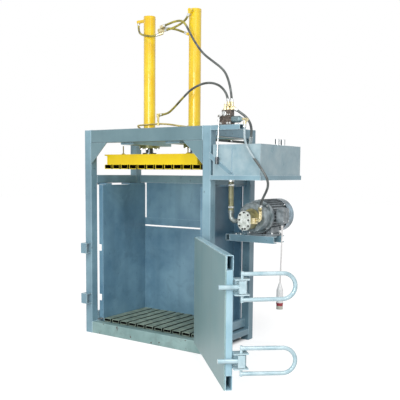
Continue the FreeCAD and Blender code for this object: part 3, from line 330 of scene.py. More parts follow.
class Paint(Enum):
    """The finishes of the baler, each named for what the real one is."""

    # sprayed alkyd on rolled tube: satin, a little orange peel; pale rims, partly rubbed through and partly
    # # painted highlight; painted shade in its corners
    FRAME = Finish("sprayed_alkyd_blue_grey", "#6F909F", "#94B6C2", rough=0.36, mottle_mm=520,
                   mottle=0.75, streak=0.10, chips=0.5, chip_mm=26, edge=0.9, edge_mm=6, rim_wear_and_highlight="#CFE2E8",
                   crevice_shade=0.45)
    # the same paint on the front beam, dulled by handling and darker as painted shade; pale rims, partly
    # wear
    # # and partly painted highlight
    BEAM = Finish("sprayed_alkyd_dulled_and_shaded", "#638088", "#7A969D", rough=0.42, mottle_mm=400, mottle=0.6,
                  streak=0.08, edge=0.8, edge_mm=5, rim_wear_and_highlight="#B4CBD2", crevice_shade=0.4)
    # chamber sheets: darker than the frame as painted shade for the chamber's inside, and smeared by the
    # waste
    # # that slides on them; pale rims, partly wear and partly painted highlight
    WALL = Finish("sprayed_alkyd_scuffed_and_shaded_sheet", "#5C8299", "#7CA1B4", grime_and_shade="#426173", rough=0.34,
                  mottle_mm=420, mottle=0.9, streak=0.25, smudge=0.45, smudge_mm=260, chips=0.4,
                  chip_mm=30, edge=0.9, rim_wear_and_highlight="#A9C8D6")
    # the door's inner sheet: greener, with long vertical wipe marks; pale rims, partly wear and partly
    # painted
    # # highlight
    DOOR = Finish("sprayed_alkyd_green_grey", "#76979A", "#87A0A1", grime_and_shade="#5F7A7C", rough=0.42,
                  mottle_mm=300, mottle=0.8, streak=0.3, edge=0.9, rim_wear_and_highlight="#C4D6D4")
    # the sill, scuffed green-grey by boots and bales, with rusty knocks; pale rims, partly wear and partly
    # # painted highlight
    SILL = Finish("sprayed_alkyd_kicked_sill", "#7A9998", "#97B5B3", grime_and_shade="#4B3B36", mottle_mm=260,
                  mottle=0.9, streak=0.06, smudge=0.3, chips=1.0, chip_mm=55, edge=0.8, edge_mm=6,
                  rim_wear_and_highlight="#D5E6E4")
    # the frame's paint made paler as painted light, with light rims, partly wear and partly painted
    # highlight,
    # # and painted shade in its corners
    PALE = Finish("sprayed_alkyd_pale", "#8FB5C4", "#B9D4DE", rough=0.34, mottle_mm=300, mottle=0.6,
                  streak=0.1, edge=0.8, crevice_shade=0.4)
    # walked-on and scraped tube tops with pale rims, partly wear and partly painted highlight; dark
    # smudges,
    # # and painted shade, almost black, between and inside the tubes and on their sides
    FLOOR = Finish("scraped_floor_paint", "#6C7F74", "#A3B3A2", grime_and_shade="#0C0F10", rough=0.55, mottle_mm=60,
                   mottle=0.9, streak=0.2, smudge=0.4, smudge_mm=40, chips=0.8, chip_mm=18, edge=0.8,
                   edge_mm=3, crevice_shade=1.0, crevice_shade_mm=60, flank_shade=0.95)
    # two coats of gloss enamel on drawn tube, with a wet highlight
    YELLOW = Finish("machine_yellow_enamel", "#F2C40C", "#FFE430", grime_and_shade="#D08E0A", rough=0.26, coat=0.4,
                    mottle_mm=240, mottle=0.7, streak=0.16, edge=0.5)
    # enamel on rolled plate: strong yellow, brown runs, pale rims, partly wear and partly painted
    # highlight,
    # # and painted shade in its corners
    RAM = Finish("machine_yellow_plate", "#EAC802", "#F5DC12", grime_and_shade="#8A6A10", rough=0.34, mottle_mm=200,
                 streak=0.1, edge=0.6, edge_mm=5, crevice_shade=0.4)
    # enamel on sawn tubes: bright rims, partly painted highlight, round openings made near black with
    # painted
    # # shade
    SLAT = Finish("machine_yellow_tube_ends", "#E2BE18", "#FFE93A", grime_and_shade="#0E0B08", edge=0.9, edge_mm=3,
                  crevice_shade=1.0, crevice_shade_mm=160, flank_shade=0.95)
    # brushed on thin rod by hand: patchy olive and yellow
    WIRE = Finish("brushed_on_enamel_over_rod", "#6F6126", "#B79D2A", rough=0.45, mottle_mm=30, mottle=0.9)
    # primer on turned steel: olive, blotched, with painted shade in its corners
    GLAND = Finish("olive_primer", "#59603C", "#A3A672", grime_and_shade="#24281C", rough=0.38, metal=0.3,
                   mottle_mm=26, mottle=0.9, edge=0.9, crevice_shade=0.7)
    # yellow chromate on bent tube: straw to bronze under an oil film
    PIPE = Finish("zinc_yellow_plated_pipe", "#A79548", "#E6D796", grime_and_shade="#3A3522", rough=0.3, metal=0.5,
                  mottle_mm=120, mottle=1.0, smudge=0.6, smudge_mm=120)
    # thick enamel on bent rod and plate: wet highlights, hand marks
    HANDLE = Finish("pale_gloss_enamel", "#96B5BF", "#C0D3D9", grime_and_shade="#6E8791", rough=0.22, coat=0.5,
                    mottle_mm=120, mottle=0.8, smudge=0.35, smudge_mm=70, edge=0.7, crevice_shade=0.5)
    # enamel on folded sheet: broad soft patches, light rims, partly wear and partly painted highlight
    TANK = Finish("tank_sheet_enamel", "#8AA8B3", "#A9BDC3", grime_and_shade="#7F9AA5", rough=0.3, mottle_mm=160,
                  mottle=1.0, smudge=0.5, smudge_mm=120, edge=0.9, edge_mm=5)
    # hard chrome under oil: a dark mirror
    ROD = Finish("oiled_chrome_rod", "#41484B", "#7C8386", rough=0.3, rough_spread=0.08, metal=1.0,
                 mottle_mm=60)
    # polished chrome: a clear bright mirror
    BRIGHT = Finish("polished_chrome", "#C9CCCE", "#EEF0F1", rough=0.14, rough_spread=0.06, metal=1.0,
                    mottle_mm=30)
    # plated bolts and clamps: bright tops, painted shade in the corners
    ZINC = Finish("bright_zinc_plate", "#B9BDBE", "#F2F4F2", grime_and_shade="#4A4A42", rough=0.26, metal=0.9,
                  mottle_mm=9, mottle=1.0, crevice_shade=0.8, crevice_shade_mm=8)
    # oil-blackened steel: a dull blue-black sheen
    DARK = Finish("blued_steel", "#343B3A", "#59625F", metal=0.7, mottle_mm=80)
    # plated turned fittings: cream highlights, partly painted on the rims, and brown painted shade in the
    # # corners
    BRASS = Finish("cream_plated_brass", "#B7A878", "#F1E6BE", grime_and_shade="#4F4528", rough=0.24, metal=0.75,
                   mottle_mm=14, mottle=1.0, edge=0.7, crevice_shade=0.7, crevice_shade_mm=14)
    # oily sand casting: grainy brown-black, its right part painted blue-grey
    CAST = Finish("oiled_cast_iron", "#35302D", "#756960", grime_and_shade="#141312", rough=0.42, metal=0.4,
                  mottle_mm=16, mottle=1.0, grain_mm=3, bump=0.4, edge=0.9, crevice_shade=0.6,
                  bands=(Band(0, 875.0, "#4C666C", "#8BA1A6"),))
    # enamel on cast fins: grey tops with rims partly of painted highlight, and painted shade, near black,
    # # between them
    MOTOR = Finish("motor_enamel", "#646D71", "#A3ACB1", grime_and_shade="#22282B", rough=0.34, metal=0.25,
                   mottle_mm=40, mottle=0.9, smudge=0.4, smudge_mm=50, edge=0.9, edge_mm=3, crevice_shade=1.0,
                   crevice_shade_mm=18)
    # enamel on pressed sheet: dark grey with broad pale blue-grey patches, painted reflections
    COWL = Finish("pressed_cowl_enamel", "#465056", "#A2BDCD", grime_and_shade="#2B3236", rough=0.26, metal=0.2,
                  mottle_mm=110, mottle=1.0, edge=0.9, edge_mm=3, crevice_shade=0.5)
    # enamel on a casting: grey with brown oil stains and pale patches of painted highlight
    BELL = Finish("cast_bell_grey", "#5E6B6F", "#B2BEC2", grime_and_shade="#3E3B2C", rough=0.34, metal=0.3,
                  mottle_mm=70, mottle=1.0, smudge=0.7, edge=0.8, crevice_shade=0.5)
    # painted casting wet with oil: olive and glossy
    BODY = Finish("olive_cast_pump_body", "#6C6A4C", "#A7A070", grime_and_shade="#2F2C1C", rough=0.36, metal=0.4,
                  mottle_mm=36, mottle=1.0, smudge=0.6, smudge_mm=40, edge=0.8)
    # blasted die casting: fine pale grain, grimy patches
    COVER = Finish("bead_blasted_aluminium", "#B9C0B8", "#E9EEEA", grime_and_shade="#4E5A50", rough=0.42,
                   metal=0.35, mottle_mm=30, mottle=0.9, smudge=0.7, smudge_mm=20, grain_mm=2, bump=0.3,
                   edge=0.8)
    # thin paint on drawn steel: grey, metal showing through
    ELBOW = Finish("painted_steel_elbow", "#56605F", "#A2ABA8", grime_and_shade="#262B2A", rough=0.3, metal=0.5,
                   mottle_mm=40, mottle=1.0)
    # black oxide on steel: near black, a low sheen
    SOCKET = Finish("blackened_screw", "#2A2C2B", "#4A4D4B", metal=0.6, mottle_mm=10)
    # rubber under a wrapped sheath: dull, with a grey sheen along its top
    # and dusted with the yellow enamel of the cylinders where it lies near them
    HOSE = Finish("wrapped_rubber_hose", "#5E5B35", "#C9BC4C", grime_and_shade="#3A3B30", rough=0.42, mottle_mm=70,
                  mottle=1.0, smudge=0.7, grain_mm=4, bump=0.35,
                  bands=(Band(0, 262.0, "#3F4443", "#747A79"),))
    # rubber in a smooth sleeve: dark below, pale blue-grey on its upper run
    PRESSURE = Finish("sleeved_pressure_hose", "#3F4443", "#6E7473", grime_and_shade="#222524", rough=0.36,
                      mottle_mm=60, mottle=0.8, grain_mm=4, bump=0.2,
                      bands=(Band(2, 1606.0, "#8799A0", "#BECDD1"),))
    # soft rubber wet with oil: olive, in glossy patches
    SUCTION = Finish("oiled_suction_rubber", "#5A5B41", "#9A9A72", grime_and_shade="#2B2C20", rough=0.34,
                     mottle_mm=70, mottle=1.0, smudge=0.5, smudge_mm=60)
    # extruded soft PVC: even white, slightly soiled
    LEAD = Finish("white_pvc_sheath", "#DAD7D6", "#F0EEEC", grime_and_shade="#8F8A88", mottle_mm=40)
    # moulded phenolic: near black with a sharp highlight
    KNOB = Finish("phenolic_knob", "#2B3238", "#4A545C", rough=0.22, coat=0.5, mottle_mm=20)
    # moulded nylon: grey below, a red band, white on top
    PLUG = Finish("moulded_nylon_plug", "#BDBDB1", "#D9D8CC", grime_and_shade="#7E7E72", mottle_mm=30,
                  bands=(Band(2, 412.0, "#8E2F38", "#B5474C"), Band(2, 437.0, "#EDEEEE", "#F8F8F8")))


@dataclass
class Workshop:
    """Builds each finish once and hands it to nodes and pieces."""

    frame: dict
    made: dict[str, bpy.types.Material] = field(default_factory=dict)

    def paint(self, finish: Paint) -> bpy.types.Material:
        """Gives a finish's material, built on first use.

        Args:
            finish: the finish to use.

        Returns:
            Its material.
        """
        if finish.name not in self.made:
            self.made[finish.name] = finish.value.build()
        return self.made[finish.name]

    def dress(self, finish: Paint, *nodes: str) -> None:
        """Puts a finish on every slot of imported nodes.

        Args:
            finish: the finish to use.
            nodes: the nodes' names.
        """
        for node in nodes:
            obj = self.frame["nodes"][node]
            if not obj.material_slots:
                obj.data.materials.append(self.paint(finish))
            for slot in obj.material_slots:
                slot.material = self.paint(finish)
            LOG.info("%s dressed in %s", node, finish.name)


@dataclass
class Shells:
    """Gathers closed shells of small parts into one mesh."""

    name: str
    points: list[np.ndarray] = field(default_factory=list)
    faces: list[tuple[int, ...]] = field(default_factory=list)

    def skin(self, rings: np.ndarray) -> None:
        """Closes a stack of rings to a solid.

        Point j of ring i joins point j + 1 and the same points of ring i + 1, and a flat face caps
        each end. Each ring turns left about the way to the next, so the faces point outwards.

        Args:
            rings: an array of rings by sides by three.
        """
        start = sum(len(part) for part in self.points)
        count, sides = rings.shape[:2]
        index = start + np.arange(count * sides).reshape(count, sides)
        after = np.roll(index, -1, axis=1)
        quads = np.stack([index[:-1], after[:-1], after[1:], index[1:]], axis=2).reshape(-1, 4)
        self.faces += [tuple(quad) for quad in quads.tolist()]
        self.faces += [tuple(index[0][::-1].tolist()), tuple(index[-1].tolist())]
        self.points.append(rings.reshape(-1, 3))

    def turned(self, profile: Profile, place: Place, way: Place, sides: int = 20) -> None:
        """Adds a turned piece: place + height * way + radius * (cos a * across + sin a * rise).

        Args:
            profile: pairs of radius and height.
            place: where height 0 lies.
            way: the axis, from the first height to the last.
            sides: points round the axis, 6 for a hexagon.
        """
        ahead = np.array(way, float) / np.linalg.norm(way)
        across, rise = square_to(ahead)
        turn = np.linspace(0, 2 * math.pi, sides, endpoint=False)
        ring = np.cos(turn)[:, None] * across + np.sin(turn)[:, None] * rise
        shape = np.array(profile, float)
        self.skin(np.array(place, float) + shape[:, 1, None, None] * ahead + shape[:, 0, None, None] * ring)

    def swept(self, line: np.ndarray, radii: np.ndarray, sides: int = 8) -> None:
        """Adds a rod along a line: point + radius * (cos a * across + sin a * rise) at each point.

        Args:
            line: points along the middle.
            radii: a radius for each point.
            sides: points round the rod.
        """
        ahead = np.gradient(line, axis=0)
        ahead /= np.linalg.norm(ahead, axis=1, keepdims=True)
        across, _ = square_to(ahead[0])
        side = across - (ahead @ across)[:, None] * ahead
        side /= np.linalg.norm(side, axis=1, keepdims=True)
        rise = np.cross(ahead, side)
        turn = np.linspace(0, 2 * math.pi, sides, endpoint=False)
        ring = np.cos(turn)[None, :, None] * side[:, None] + np.sin(turn)[None, :, None] * rise[:, None]
        self.skin(line[:, None] + radii[:, None, None] * ring)

    def bolt(self, place: Place, way: Place, across: float, washer: float = 0.0) -> None:
        """Adds a hexagon head, chamfered at its top, on a washer where that has a width.

        Args:
            place: the middle of the seat.
            way: out of the seat.
            across: width over the corners.
            washer: the washer's width, or 0.
        """
        thick = across * WASHER if washer else 0.0
        if washer:
            self.turned(((washer / 2, 0.0), (washer / 2, thick)), place, way)
        tall = thick + across * HEAD
        profile = ((across / 2, thick), (across / 2, tall * CHAMFER), (across * CROWN, tall))
        self.turned(profile, place, way, sides=6)

    def weld(self, start: Place, end: Place, radius: float = 3.5, pitch: float = 7.0) -> None:
        """Adds a weld bead: a rod of radius * (1 + ripple * cos(2 pi * length / pitch)), thin at its ends.

        Args:
            start: one end.
            end: the other end.
            radius: the bead's mean radius.
            pitch: the ripple's length.
        """
        run = float(np.linalg.norm(np.subtract(end, start)))
        share = np.linspace(0, 1, max(6, int(run / pitch * RIPPLE_POINTS)))
        line = np.array(start, float) + share[:, None] * np.subtract(end, start)
        radii = radius * (1 + RIPPLE * np.cos(2 * math.pi * share * run / pitch))
        radii[[0, -1]] *= WELD_END
        self.swept(line, radii, sides=6)

    def make(self, shop: Workshop, finish: Paint = Paint.ZINC,
             body: str = "frame") -> None:
        """Makes the mesh object and lets it ride on its body.

        Args:
            shop: where the finish comes from.
            finish: the finish to use.
            body: the body that carries it.
        """
        mesh = bpy.data.meshes.new(self.name)
        mesh.from_pydata((np.vstack(self.points) * MM).tolist(), [], self.faces)
        mesh.shade_smooth()
        mesh.set_sharp_from_angle(angle=math.radians(SHARP_DEG))
        mesh.materials.append(shop.paint(finish))
        obj = stand(self.name, mesh)
        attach(obj, body)
        LOG.info("%s made, %d faces", self.name, len(self.faces))


def square_to(ahead: np.ndarray) -> tuple[np.ndarray, np.ndarray]:
    """Finds two unit ways square to a unit way: a fixed way crossed with it, and it crossed with that.

    Args:
        ahead: the unit way, which is also the first result crossed with the second.

    Returns:
        The two ways.
    """
    other = np.array(UP if abs(ahead[2]) < STEEP else RIGHT, float)
    across = np.cross(other, ahead)
    across /= np.linalg.norm(across)
    return across, np.cross(ahead, across)


@dataclass
class Frame:
    """Posts, beams, rails, walls and floor, with the welds that join them and their bolts."""

    shop: Workshop
    inner: float = 615.0
    half: float = 695.0
    height: float = 1870.0
    depth: float = 715.0
    post: float = 80.0
    beam: float = 115.0
    sill: float = 105.0
    base_bead: tuple[float, float] = (52.0, 124.0)
    tie_bolt: float = 340.0
    channel_bolts: tuple[float, float] = (745.0, 790.0)
    channel_front: float = 322.0

    def dress(self) -> None:
        """Paints the welded frame and adds its welds and bolts."""
        self.shop.dress(Paint.FRAME, "frame_posts", "top_beams", "latch_keepers", "base_rails",
                        "floor_bearers", "side_rails", "cylinder_beds", "hinge_brackets", "valve_shelf",
                        "motor_channels", "tank_frame")
        self.shop.dress(Paint.BEAM, "front_beam")
        self.shop.dress(Paint.WALL, "back_wall", "side_walls")
        self.shop.dress(Paint.FLOOR, "floor_slats")
        self.shop.dress(Paint.DARK, "tie_bar")
        self.shop.dress(Paint.SILL, "front_sill")
        self.welds()
        self.bolts()

    def welds(self) -> None:
        """Lays beads where the beam, sill, top ties and base rails meet the posts."""
        beads = Shells("frame_welds")
        face, end, inset, thin = -0.5, 2.0, 4.0, 3.0
        for side in (-1, 1):
            edge, outer = side * self.inner, side * self.half
            beads.weld((edge, face, self.height - self.beam), (edge, face, self.height))
            beads.weld((edge, face, end), (edge, face, self.sill))
            beads.weld((edge, inset, self.sill), (edge, self.post - inset, self.sill))
            beads.weld((edge, inset, self.height), (edge, self.post - inset, self.height), radius=thin)
            for along in (self.post, self.depth - self.post):
                for low, high in ((self.height - self.post + end, self.height - end), self.base_bead):
                    beads.weld((outer, along, low), (outer, along, high), radius=thin)
        beads.make(self.shop, Paint.PALE)

    def bolts(self) -> None:
        """Sets the bright bolts of the tie bar and of the motor's channels."""
        heads = Shells("frame_bolts")
        tie_low, tie_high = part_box("tie_bar")
        seat = (tie_high[0] / MM, self.tie_bolt, (tie_low[2] + tie_high[2]) / 2 / MM)
        heads.bolt(seat, RIGHT, across=13.0, washer=18.0)
        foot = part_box("motor_channels")[1][2] / MM
        for across in self.channel_bolts:
            heads.bolt((across, self.channel_front, foot), UP, across=14.0, washer=22.0)
        heads.make(self.shop)


@dataclass
class Ram:
    """The slatted ram and its two cylinders."""

    shop: Workshop
    spacing: float = 254.0
    back: float = 397.0
    barrel: float = 54.0
    top: float = 2904.0
    cap: float = 22.0
    bolt_circle: float = 79.0
    bolt_count: int = 8
    bead: float = 2.0

    def dress(self) -> None:
        """Paints the ram, pins, cylinders and link pipe, and adds the glands' bolts and caps' welds."""
        self.shop.dress(Paint.RAM, "ram_frame")
        self.shop.dress(Paint.SLAT, "ram_slats")
        self.shop.dress(Paint.WIRE, "ram_pins")
        self.shop.dress(Paint.YELLOW, "cylinder_barrels", "cylinder_ports")
        self.shop.dress(Paint.GLAND, "cylinder_glands")
        self.shop.dress(Paint.PIPE, "link_pipe")
        self.shop.dress(Paint.ROD, "cylinder_rods")
        self.gland_bolts()
        self.cap_welds()

    def gland_bolts(self) -> None:
        """Sets a ring of bolts under each gland: angle (k + 0.5) * 360 / count."""
        heads = Shells("gland_bolts")
        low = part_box("cylinder_glands")[0][2] / MM
        for side in (-1, 1):
            for count in range(self.bolt_count):
                turn = (count + 0.5) * 2 * math.pi / self.bolt_count
                heads.bolt((side * self.spacing + self.bolt_circle * math.cos(turn),
                            self.back + self.bolt_circle * math.sin(turn), low), DOWN, across=18.0)
        heads.make(self.shop)

    def cap_welds(self) -> None:
        """Lays a round bead under each barrel's cap."""
        beads = Shells("cap_welds")
        root, wide, tall = self.barrel - 1, self.barrel + self.bead, 2 * self.bead
        profile = ((root, -tall), (wide, -1.5), (wide, 1.5), (root, tall))
        for side in (-1, 1):
            beads.turned(profile, (side * self.spacing, self.back, self.top - self.cap), UP, sides=40)
        beads.make(self.shop, Paint.YELLOW)


@dataclass
class Door:
    """The swing door with its two lever latches. Its tacks are laid shut and then turned open."""

    shop: Workshop
    hinge: tuple[float, float] = (665.0, -20.0)
    opened_deg: float = 134.5
    left: float = -567.0
    right: float = 605.0
    sheet_top: float = 982.0
    sheet_face: float = 70.0
    tack_pitch: float = 58.0
    tack_half: float = 9.0

    def dress(self) -> None:
        """Paints the door and its latches and adds the tacks."""
        self.shop.dress(Paint.DOOR, "door_panel")
        self.shop.dress(Paint.PALE, "door_frame")
        self.shop.dress(Paint.HANDLE, "door_fittings", "latch_upper", "latch_lower")
        self.tacks()

    def swing(self, shells: Shells) -> None:
        """Turns shells about the hinge: x' = hx + dx cos - dy sin and y' = hy + dx sin + dy cos.

        Args:
            shells: the shells to turn.
        """
        turn = math.radians(self.opened_deg)
        spin = np.array(((math.cos(turn), -math.sin(turn)), (math.sin(turn), math.cos(turn))))
        for part in shells.points:
            part[:, :2] = (part[:, :2] - self.hinge) @ spin.T + self.hinge

    def tacks(self) -> None:
        """Lays short weld tacks between the sheet's top edge and the tube behind it."""
        beads = Shells("door_tacks")
        along, level = self.sheet_face + 2, self.sheet_top + 1
        for step in range(int((self.right - self.left) / self.tack_pitch)):
            middle = self.left + (step + 0.5) * self.tack_pitch
            beads.weld((middle - self.tack_half, along, level), (middle + self.tack_half, along, level),
                       radius=3.2, pitch=6.0)
        self.swing(beads)
        beads.make(self.shop, Paint.HANDLE, "door")


@dataclass
class Power:
    """Tank, pump, motor, valve and their fittings and fasteners."""

    shop: Workshop
    drive_x: float = 975.0
    drive_z: float = 1142.0
    pump_face: float = 60.0
    pump_radius: float = 56.0
    pump_drop: float = 43.0
    screw_inset: float = 12.0
    flange_face: float = 270.0
    flange_circle: float = 126.0
    box_face: float = 1166.0
    box_low: tuple[float, float] = (335.0, 1092.0)
    box_high: tuple[float, float] = (447.0, 1209.0)
    lid_margin: float = 16.0
    lead_exit: Place = (1140.0, 391.0, 1070.0)
    clamps: tuple[tuple[float, float], ...] = ((828.6, 1398.0), (830.0, 1222.0))
    clamp_middle: float = 100.0
    clamp_worm: float = 73.0
    worm_aside: float = 6.0
    tank_seam: float = 895.0
    tank_rim: float = 40.0
    shelf_top: float = 1870.0
    end_plug: Place = (812.0, 11.0, 88.0)
    port_middle: float = 36.0
    port_rise: float = 116.0
    foot_thick: float = 18.0
    foot_half: float = 104.0
    foot_rows: tuple[float, float] = (330.0, 468.0)

    def dress(self) -> None:
        """Gives each piece of the power unit its finish and adds its fasteners."""
        plan = {
            "oil_tank": Paint.TANK, "tank_caps": Paint.BRIGHT, "tank_ports": Paint.ZINC,
            "valve_body": Paint.CAST, "valve_spool": Paint.BRIGHT, "valve_fittings": Paint.BRASS,
            "valve_lever": Paint.ZINC, "lever_knob": Paint.KNOB, "pump_cover": Paint.COVER,
            "pump_body": Paint.BODY, "bell_housing": Paint.BELL, "motor_shell": Paint.MOTOR,
            "fan_cowl": Paint.COWL, "motor_rotor": Paint.DARK, "terminal_box": Paint.MOTOR,
            "suction_elbow": Paint.ELBOW, "pressure_elbow": Paint.BRASS, "hose_tee": Paint.BRASS,
            "lead_plug": Paint.PLUG,
        }
        for node, finish in plan.items():
            self.shop.dress(finish, node)
        self.cover_screws()
        self.flange_bolts()
        self.box_lid()
        self.suction_clamps()
        self.lead_sleeve()
        self.tank_welds()
        self.valve_bolts()
        self.foot_bolts()

    def cover_screws(self) -> None:
        """Sets socket screws round the pump's cover, on both of its round ends."""
        heads = Shells("cover_screws")
        cup = ((7.5, 0.0), (7.5, 6.0), (4.2, 6.0), (4.2, 2.0))
        ring = self.pump_radius - self.screw_inset
        upper, lower = (90, 145, 35, 200, -20), (-25, -75, -105, -155)
        for drop, angles in ((0.0, upper), (self.pump_drop, lower)):
            for angle in angles:
                turn = math.radians(angle)
                heads.turned(cup, (self.drive_x + ring * math.cos(turn), self.pump_face,
                                   self.drive_z - drop + ring * math.sin(turn)), FRONT, sides=14)
        heads.make(self.shop, Paint.SOCKET)

    def flange_bolts(self) -> None:
        """Sets four bolts in the bell's flange, half a quarter turn off the upright."""
        heads = Shells("flange_bolts")
        for angle in (45, 135, 225, 315):
            turn = math.radians(angle)
            heads.bolt((self.drive_x + self.flange_circle * math.cos(turn), self.flange_face,
                        self.drive_z + self.flange_circle * math.sin(turn)), FRONT, across=14.0)
        heads.make(self.shop)

    def box_lid(self) -> None:
        """Puts a chamfered lid with four screws on the terminal box's outer face.

        Ring k is the face's outline, drawn in and raised by step k: corner + inset * inward, face + rise.
        """
        lid = Shells("box_lid")
        (near, low), (far, high) = self.box_low, self.box_high
        corners = np.array(((near, low), (far, low), (far, high), (near, high)))
        inward = np.array(((1, 1), (-1, 1), (-1, -1), (1, -1)))
        steps = np.array(((2.0, -1.0), (2.0, 5.0), (6.0, 9.0)))
        outline = corners + steps[:, 0, None, None] * inward
        out = np.broadcast_to(self.box_face + steps[:, 1, None, None], (len(steps), 4, 1))
        lid.skin(np.concatenate((out, outline), axis=2))
        lid.make(self.shop, Paint.MOTOR)
        screws = Shells("lid_screws")
        screw, face = ((4.5, 0.0), (4.5, 1.5), (3.0, 3.0)), float(self.box_face + steps[-1, 1])
        for along in (near + self.lid_margin, far - self.lid_margin):
            for level in (low + self.lid_margin, high - self.lid_margin):
                screws.turned(screw, (face, along, level), RIGHT, sides=14)
        screws.make(self.shop)

    def suction_clamps(self) -> None:
        """Puts a worm-drive clamp round each end of the suction hose."""
        bands = Shells("suction_clamps")
        band = ((21.0, -8.0), (23.5, -7.0), (23.5, 7.0), (21.0, 8.0))
        worm = ((6.5, -11.0), (6.5, 11.0), (4.0, 13.0))
        for across, level in self.clamps:
            bands.turned(band, (across, self.clamp_middle, level), UP, sides=28)
            bands.turned(worm, (across + self.worm_aside, self.clamp_worm, level), RIGHT, sides=12)
        bands.make(self.shop, Paint.ZINC)

    def lead_sleeve(self) -> None:
        """Puts a ribbed tapered sleeve where the lead leaves the terminal box."""
        sleeve = Shells("lead_sleeve")
        count, run, root, taper, groove = 5, 40.0, 12.0, 0.9, 1.6
        profile = [(root + 0.5, 0.0)]
        for step in range(count):
            wide = root - taper * step
            profile += [(wide, (step + 0.15) * run / count), (wide, (step + 0.6) * run / count),
                        (wide - groove, (step + 0.7) * run / count),
                        (wide - groove, (step + 0.95) * run / count)]
        sleeve.turned(tuple(profile), self.lead_exit, DOWN)
        sleeve.make(self.shop, Paint.LEAD)

    def tank_welds(self) -> None:
        """Lays the beads along the tank's lid and front right edge, and its upright seam."""
        beads = Shells("tank_welds")
        (left, near, low), (right, far, high) = (np.array(corner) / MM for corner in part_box("oil_tank"))
        rim, slim = low + self.tank_rim, 2.5
        # each bead's middle lies 1 mm inside its edge and its ends 1 to 3 mm short
        beads.weld((left + 2, near + 1, high - 1), (right - 2, near + 1, high - 1), radius=slim)
        beads.weld((right - 1, near + 2, high - 1), (right - 1, far - 2, high - 1), radius=slim)
        beads.weld((right - 1, near + 1, rim), (right - 1, near + 1, high - 2), radius=slim)
        beads.make(self.shop, Paint.TANK)
        # the seam takes the chamber sheets' paint, whose darkness is painted shade
        seam = Shells("tank_seam")
        seam.weld((self.tank_seam, near, rim), (self.tank_seam, near, high - 3), radius=3.0)
        seam.make(self.shop, Paint.WALL)

    def valve_bolts(self) -> None:
        """Sets the valve's bolts, its end plug and the nuts of its ports."""
        heads = Shells("valve_bolts")
        # each row: the heads' x, their y, their rise over the shelf, way, width and washer
        rows = (
            ((786.0, 845.0, 868.0), 6.0, 12.0, FRONT, 13.0, 17.0),
            ((912.0, 944.0), 20.0, 0.0, UP, 15.0, 22.0),
            ((842.0, 862.0), 11.0, 78.0, FRONT, 11.0, 0.0),
        )
        for row, along, rise, way, wide, washer in rows:
            for across in row:
                heads.bolt((across, along, self.shelf_top + rise), way, wide, washer)
        plug = ((20.0, 0.0), (20.0, 7.0), (15.5, 8.5), (15.5, 5.0), (9.0, 5.0), (9.0, 9.0), (6.0, 10.0))
        across, along, rise = self.end_plug
        heads.turned(plug, (across, along, self.shelf_top + rise), FRONT, sides=24)
        heads.make(self.shop)
        nuts = Shells("port_nuts")
        for across, wide, tall in ((833.0, 18.0, 17.0), (865.0, 18.0, 17.0), (806.0, 16.5, 14.0)):
            nut = ((wide - 1, 2.0), (wide, 4.0), (wide, tall - 2), (wide - 1, tall))
            nuts.turned(nut, (across, self.port_middle, self.shelf_top + self.port_rise), UP, sides=6)
        nuts.make(self.shop, Paint.BRASS)

    def foot_bolts(self) -> None:
        """Bolts the motor's feet to the channels."""
        heads = Shells("foot_bolts")
        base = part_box("motor_channels")[1][2] / MM + self.foot_thick
        for across in (self.drive_x - self.foot_half, self.drive_x + self.foot_half):
            for along in self.foot_rows:
                heads.bolt((across, along, base), UP, across=17.0, washer=22.0)
        heads.make(self.shop)


class End(Enum):
    """What a cord's far end is."""

    OBJECT = "object"
    PLUG = "plug"


class Stiffness(Enum):
    """How hard a cord is to bend."""

    MEDIUM = "medium"
    STIFF = "stiff"


@dataclass
class Cord:
    """One hose or lead: its node, route, width, finish, far end, stiffness and lay.

    A cord that isn't free is a plain pipe between two fixed ends. crimp_mm is its sleeves' length.
    """

    node: str
    route: tuple[Place, ...]
    width_mm: float = 19.0
    finish: Paint = Paint.HOSE
    slot: str = "hose_rubber"
    far_end: End = End.OBJECT
    stiffness: Stiffness = Stiffness.STIFF
    lay: str = "hanging"
    free: bool = True
    crimp_mm: float = 26.0

    def build(self, shop: Workshop, carried: list[bpy.types.Object]) -> None:
        """Draws the cord as a round NURBS curve on its route's points.

        Args:
            shop: where the finish comes from.
            carried: the separate pieces on the cord; not used.
        """
        curve = bpy.data.curves.new(self.node + "_line", "CURVE")
        curve.dimensions = "3D"
        curve.bevel_depth = self.width_mm * MM / 2
        curve.bevel_resolution = 5
        curve.resolution_u = 10
        curve.use_fill_caps = True
        spline = curve.splines.new("NURBS")
        spline.points.add(len(self.route) - 1)
        line = np.array(self.route) * MM
        spline.points.foreach_set("co", np.hstack([line, np.ones((len(line), 1))]).ravel())
        spline.order_u = 3
        spline.use_endpoint_u = True
        obj = stand(self.node + "_cord", curve)
        curve.materials.append(shop.paint(self.finish))
        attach(obj, "frame")
        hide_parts(self.node)
        LOG.info("%s drawn, %.0f mm", self.node, smooth_length(line) / MM)

    def crimp(self, sleeves: Shells) -> None:
        """Adds a crimped sleeve with three rings at each end of the hose.

        Args:
            sleeves: the shells to add to.
        """
        wall, groove, lip = 3.0, 1.3, 0.8
        wide = self.width_mm / 2 + wall
        narrow = wide - groove
        ridge = self.crimp_mm / 6
        profile = [(wide - 1.5, -1.0), (wide, 0.5)]
        for step in (1, 3, 5):
            profile += [(wide, step * ridge), (narrow, step * ridge + lip), (narrow, (step + 0.7) * ridge),
                        (wide, (step + 0.9) * ridge)]
        for here, there in ((self.route[0], self.route[1]), (self.route[-1], self.route[-2])):
            sleeves.turned(tuple(profile), here, tuple(np.subtract(there, here)))


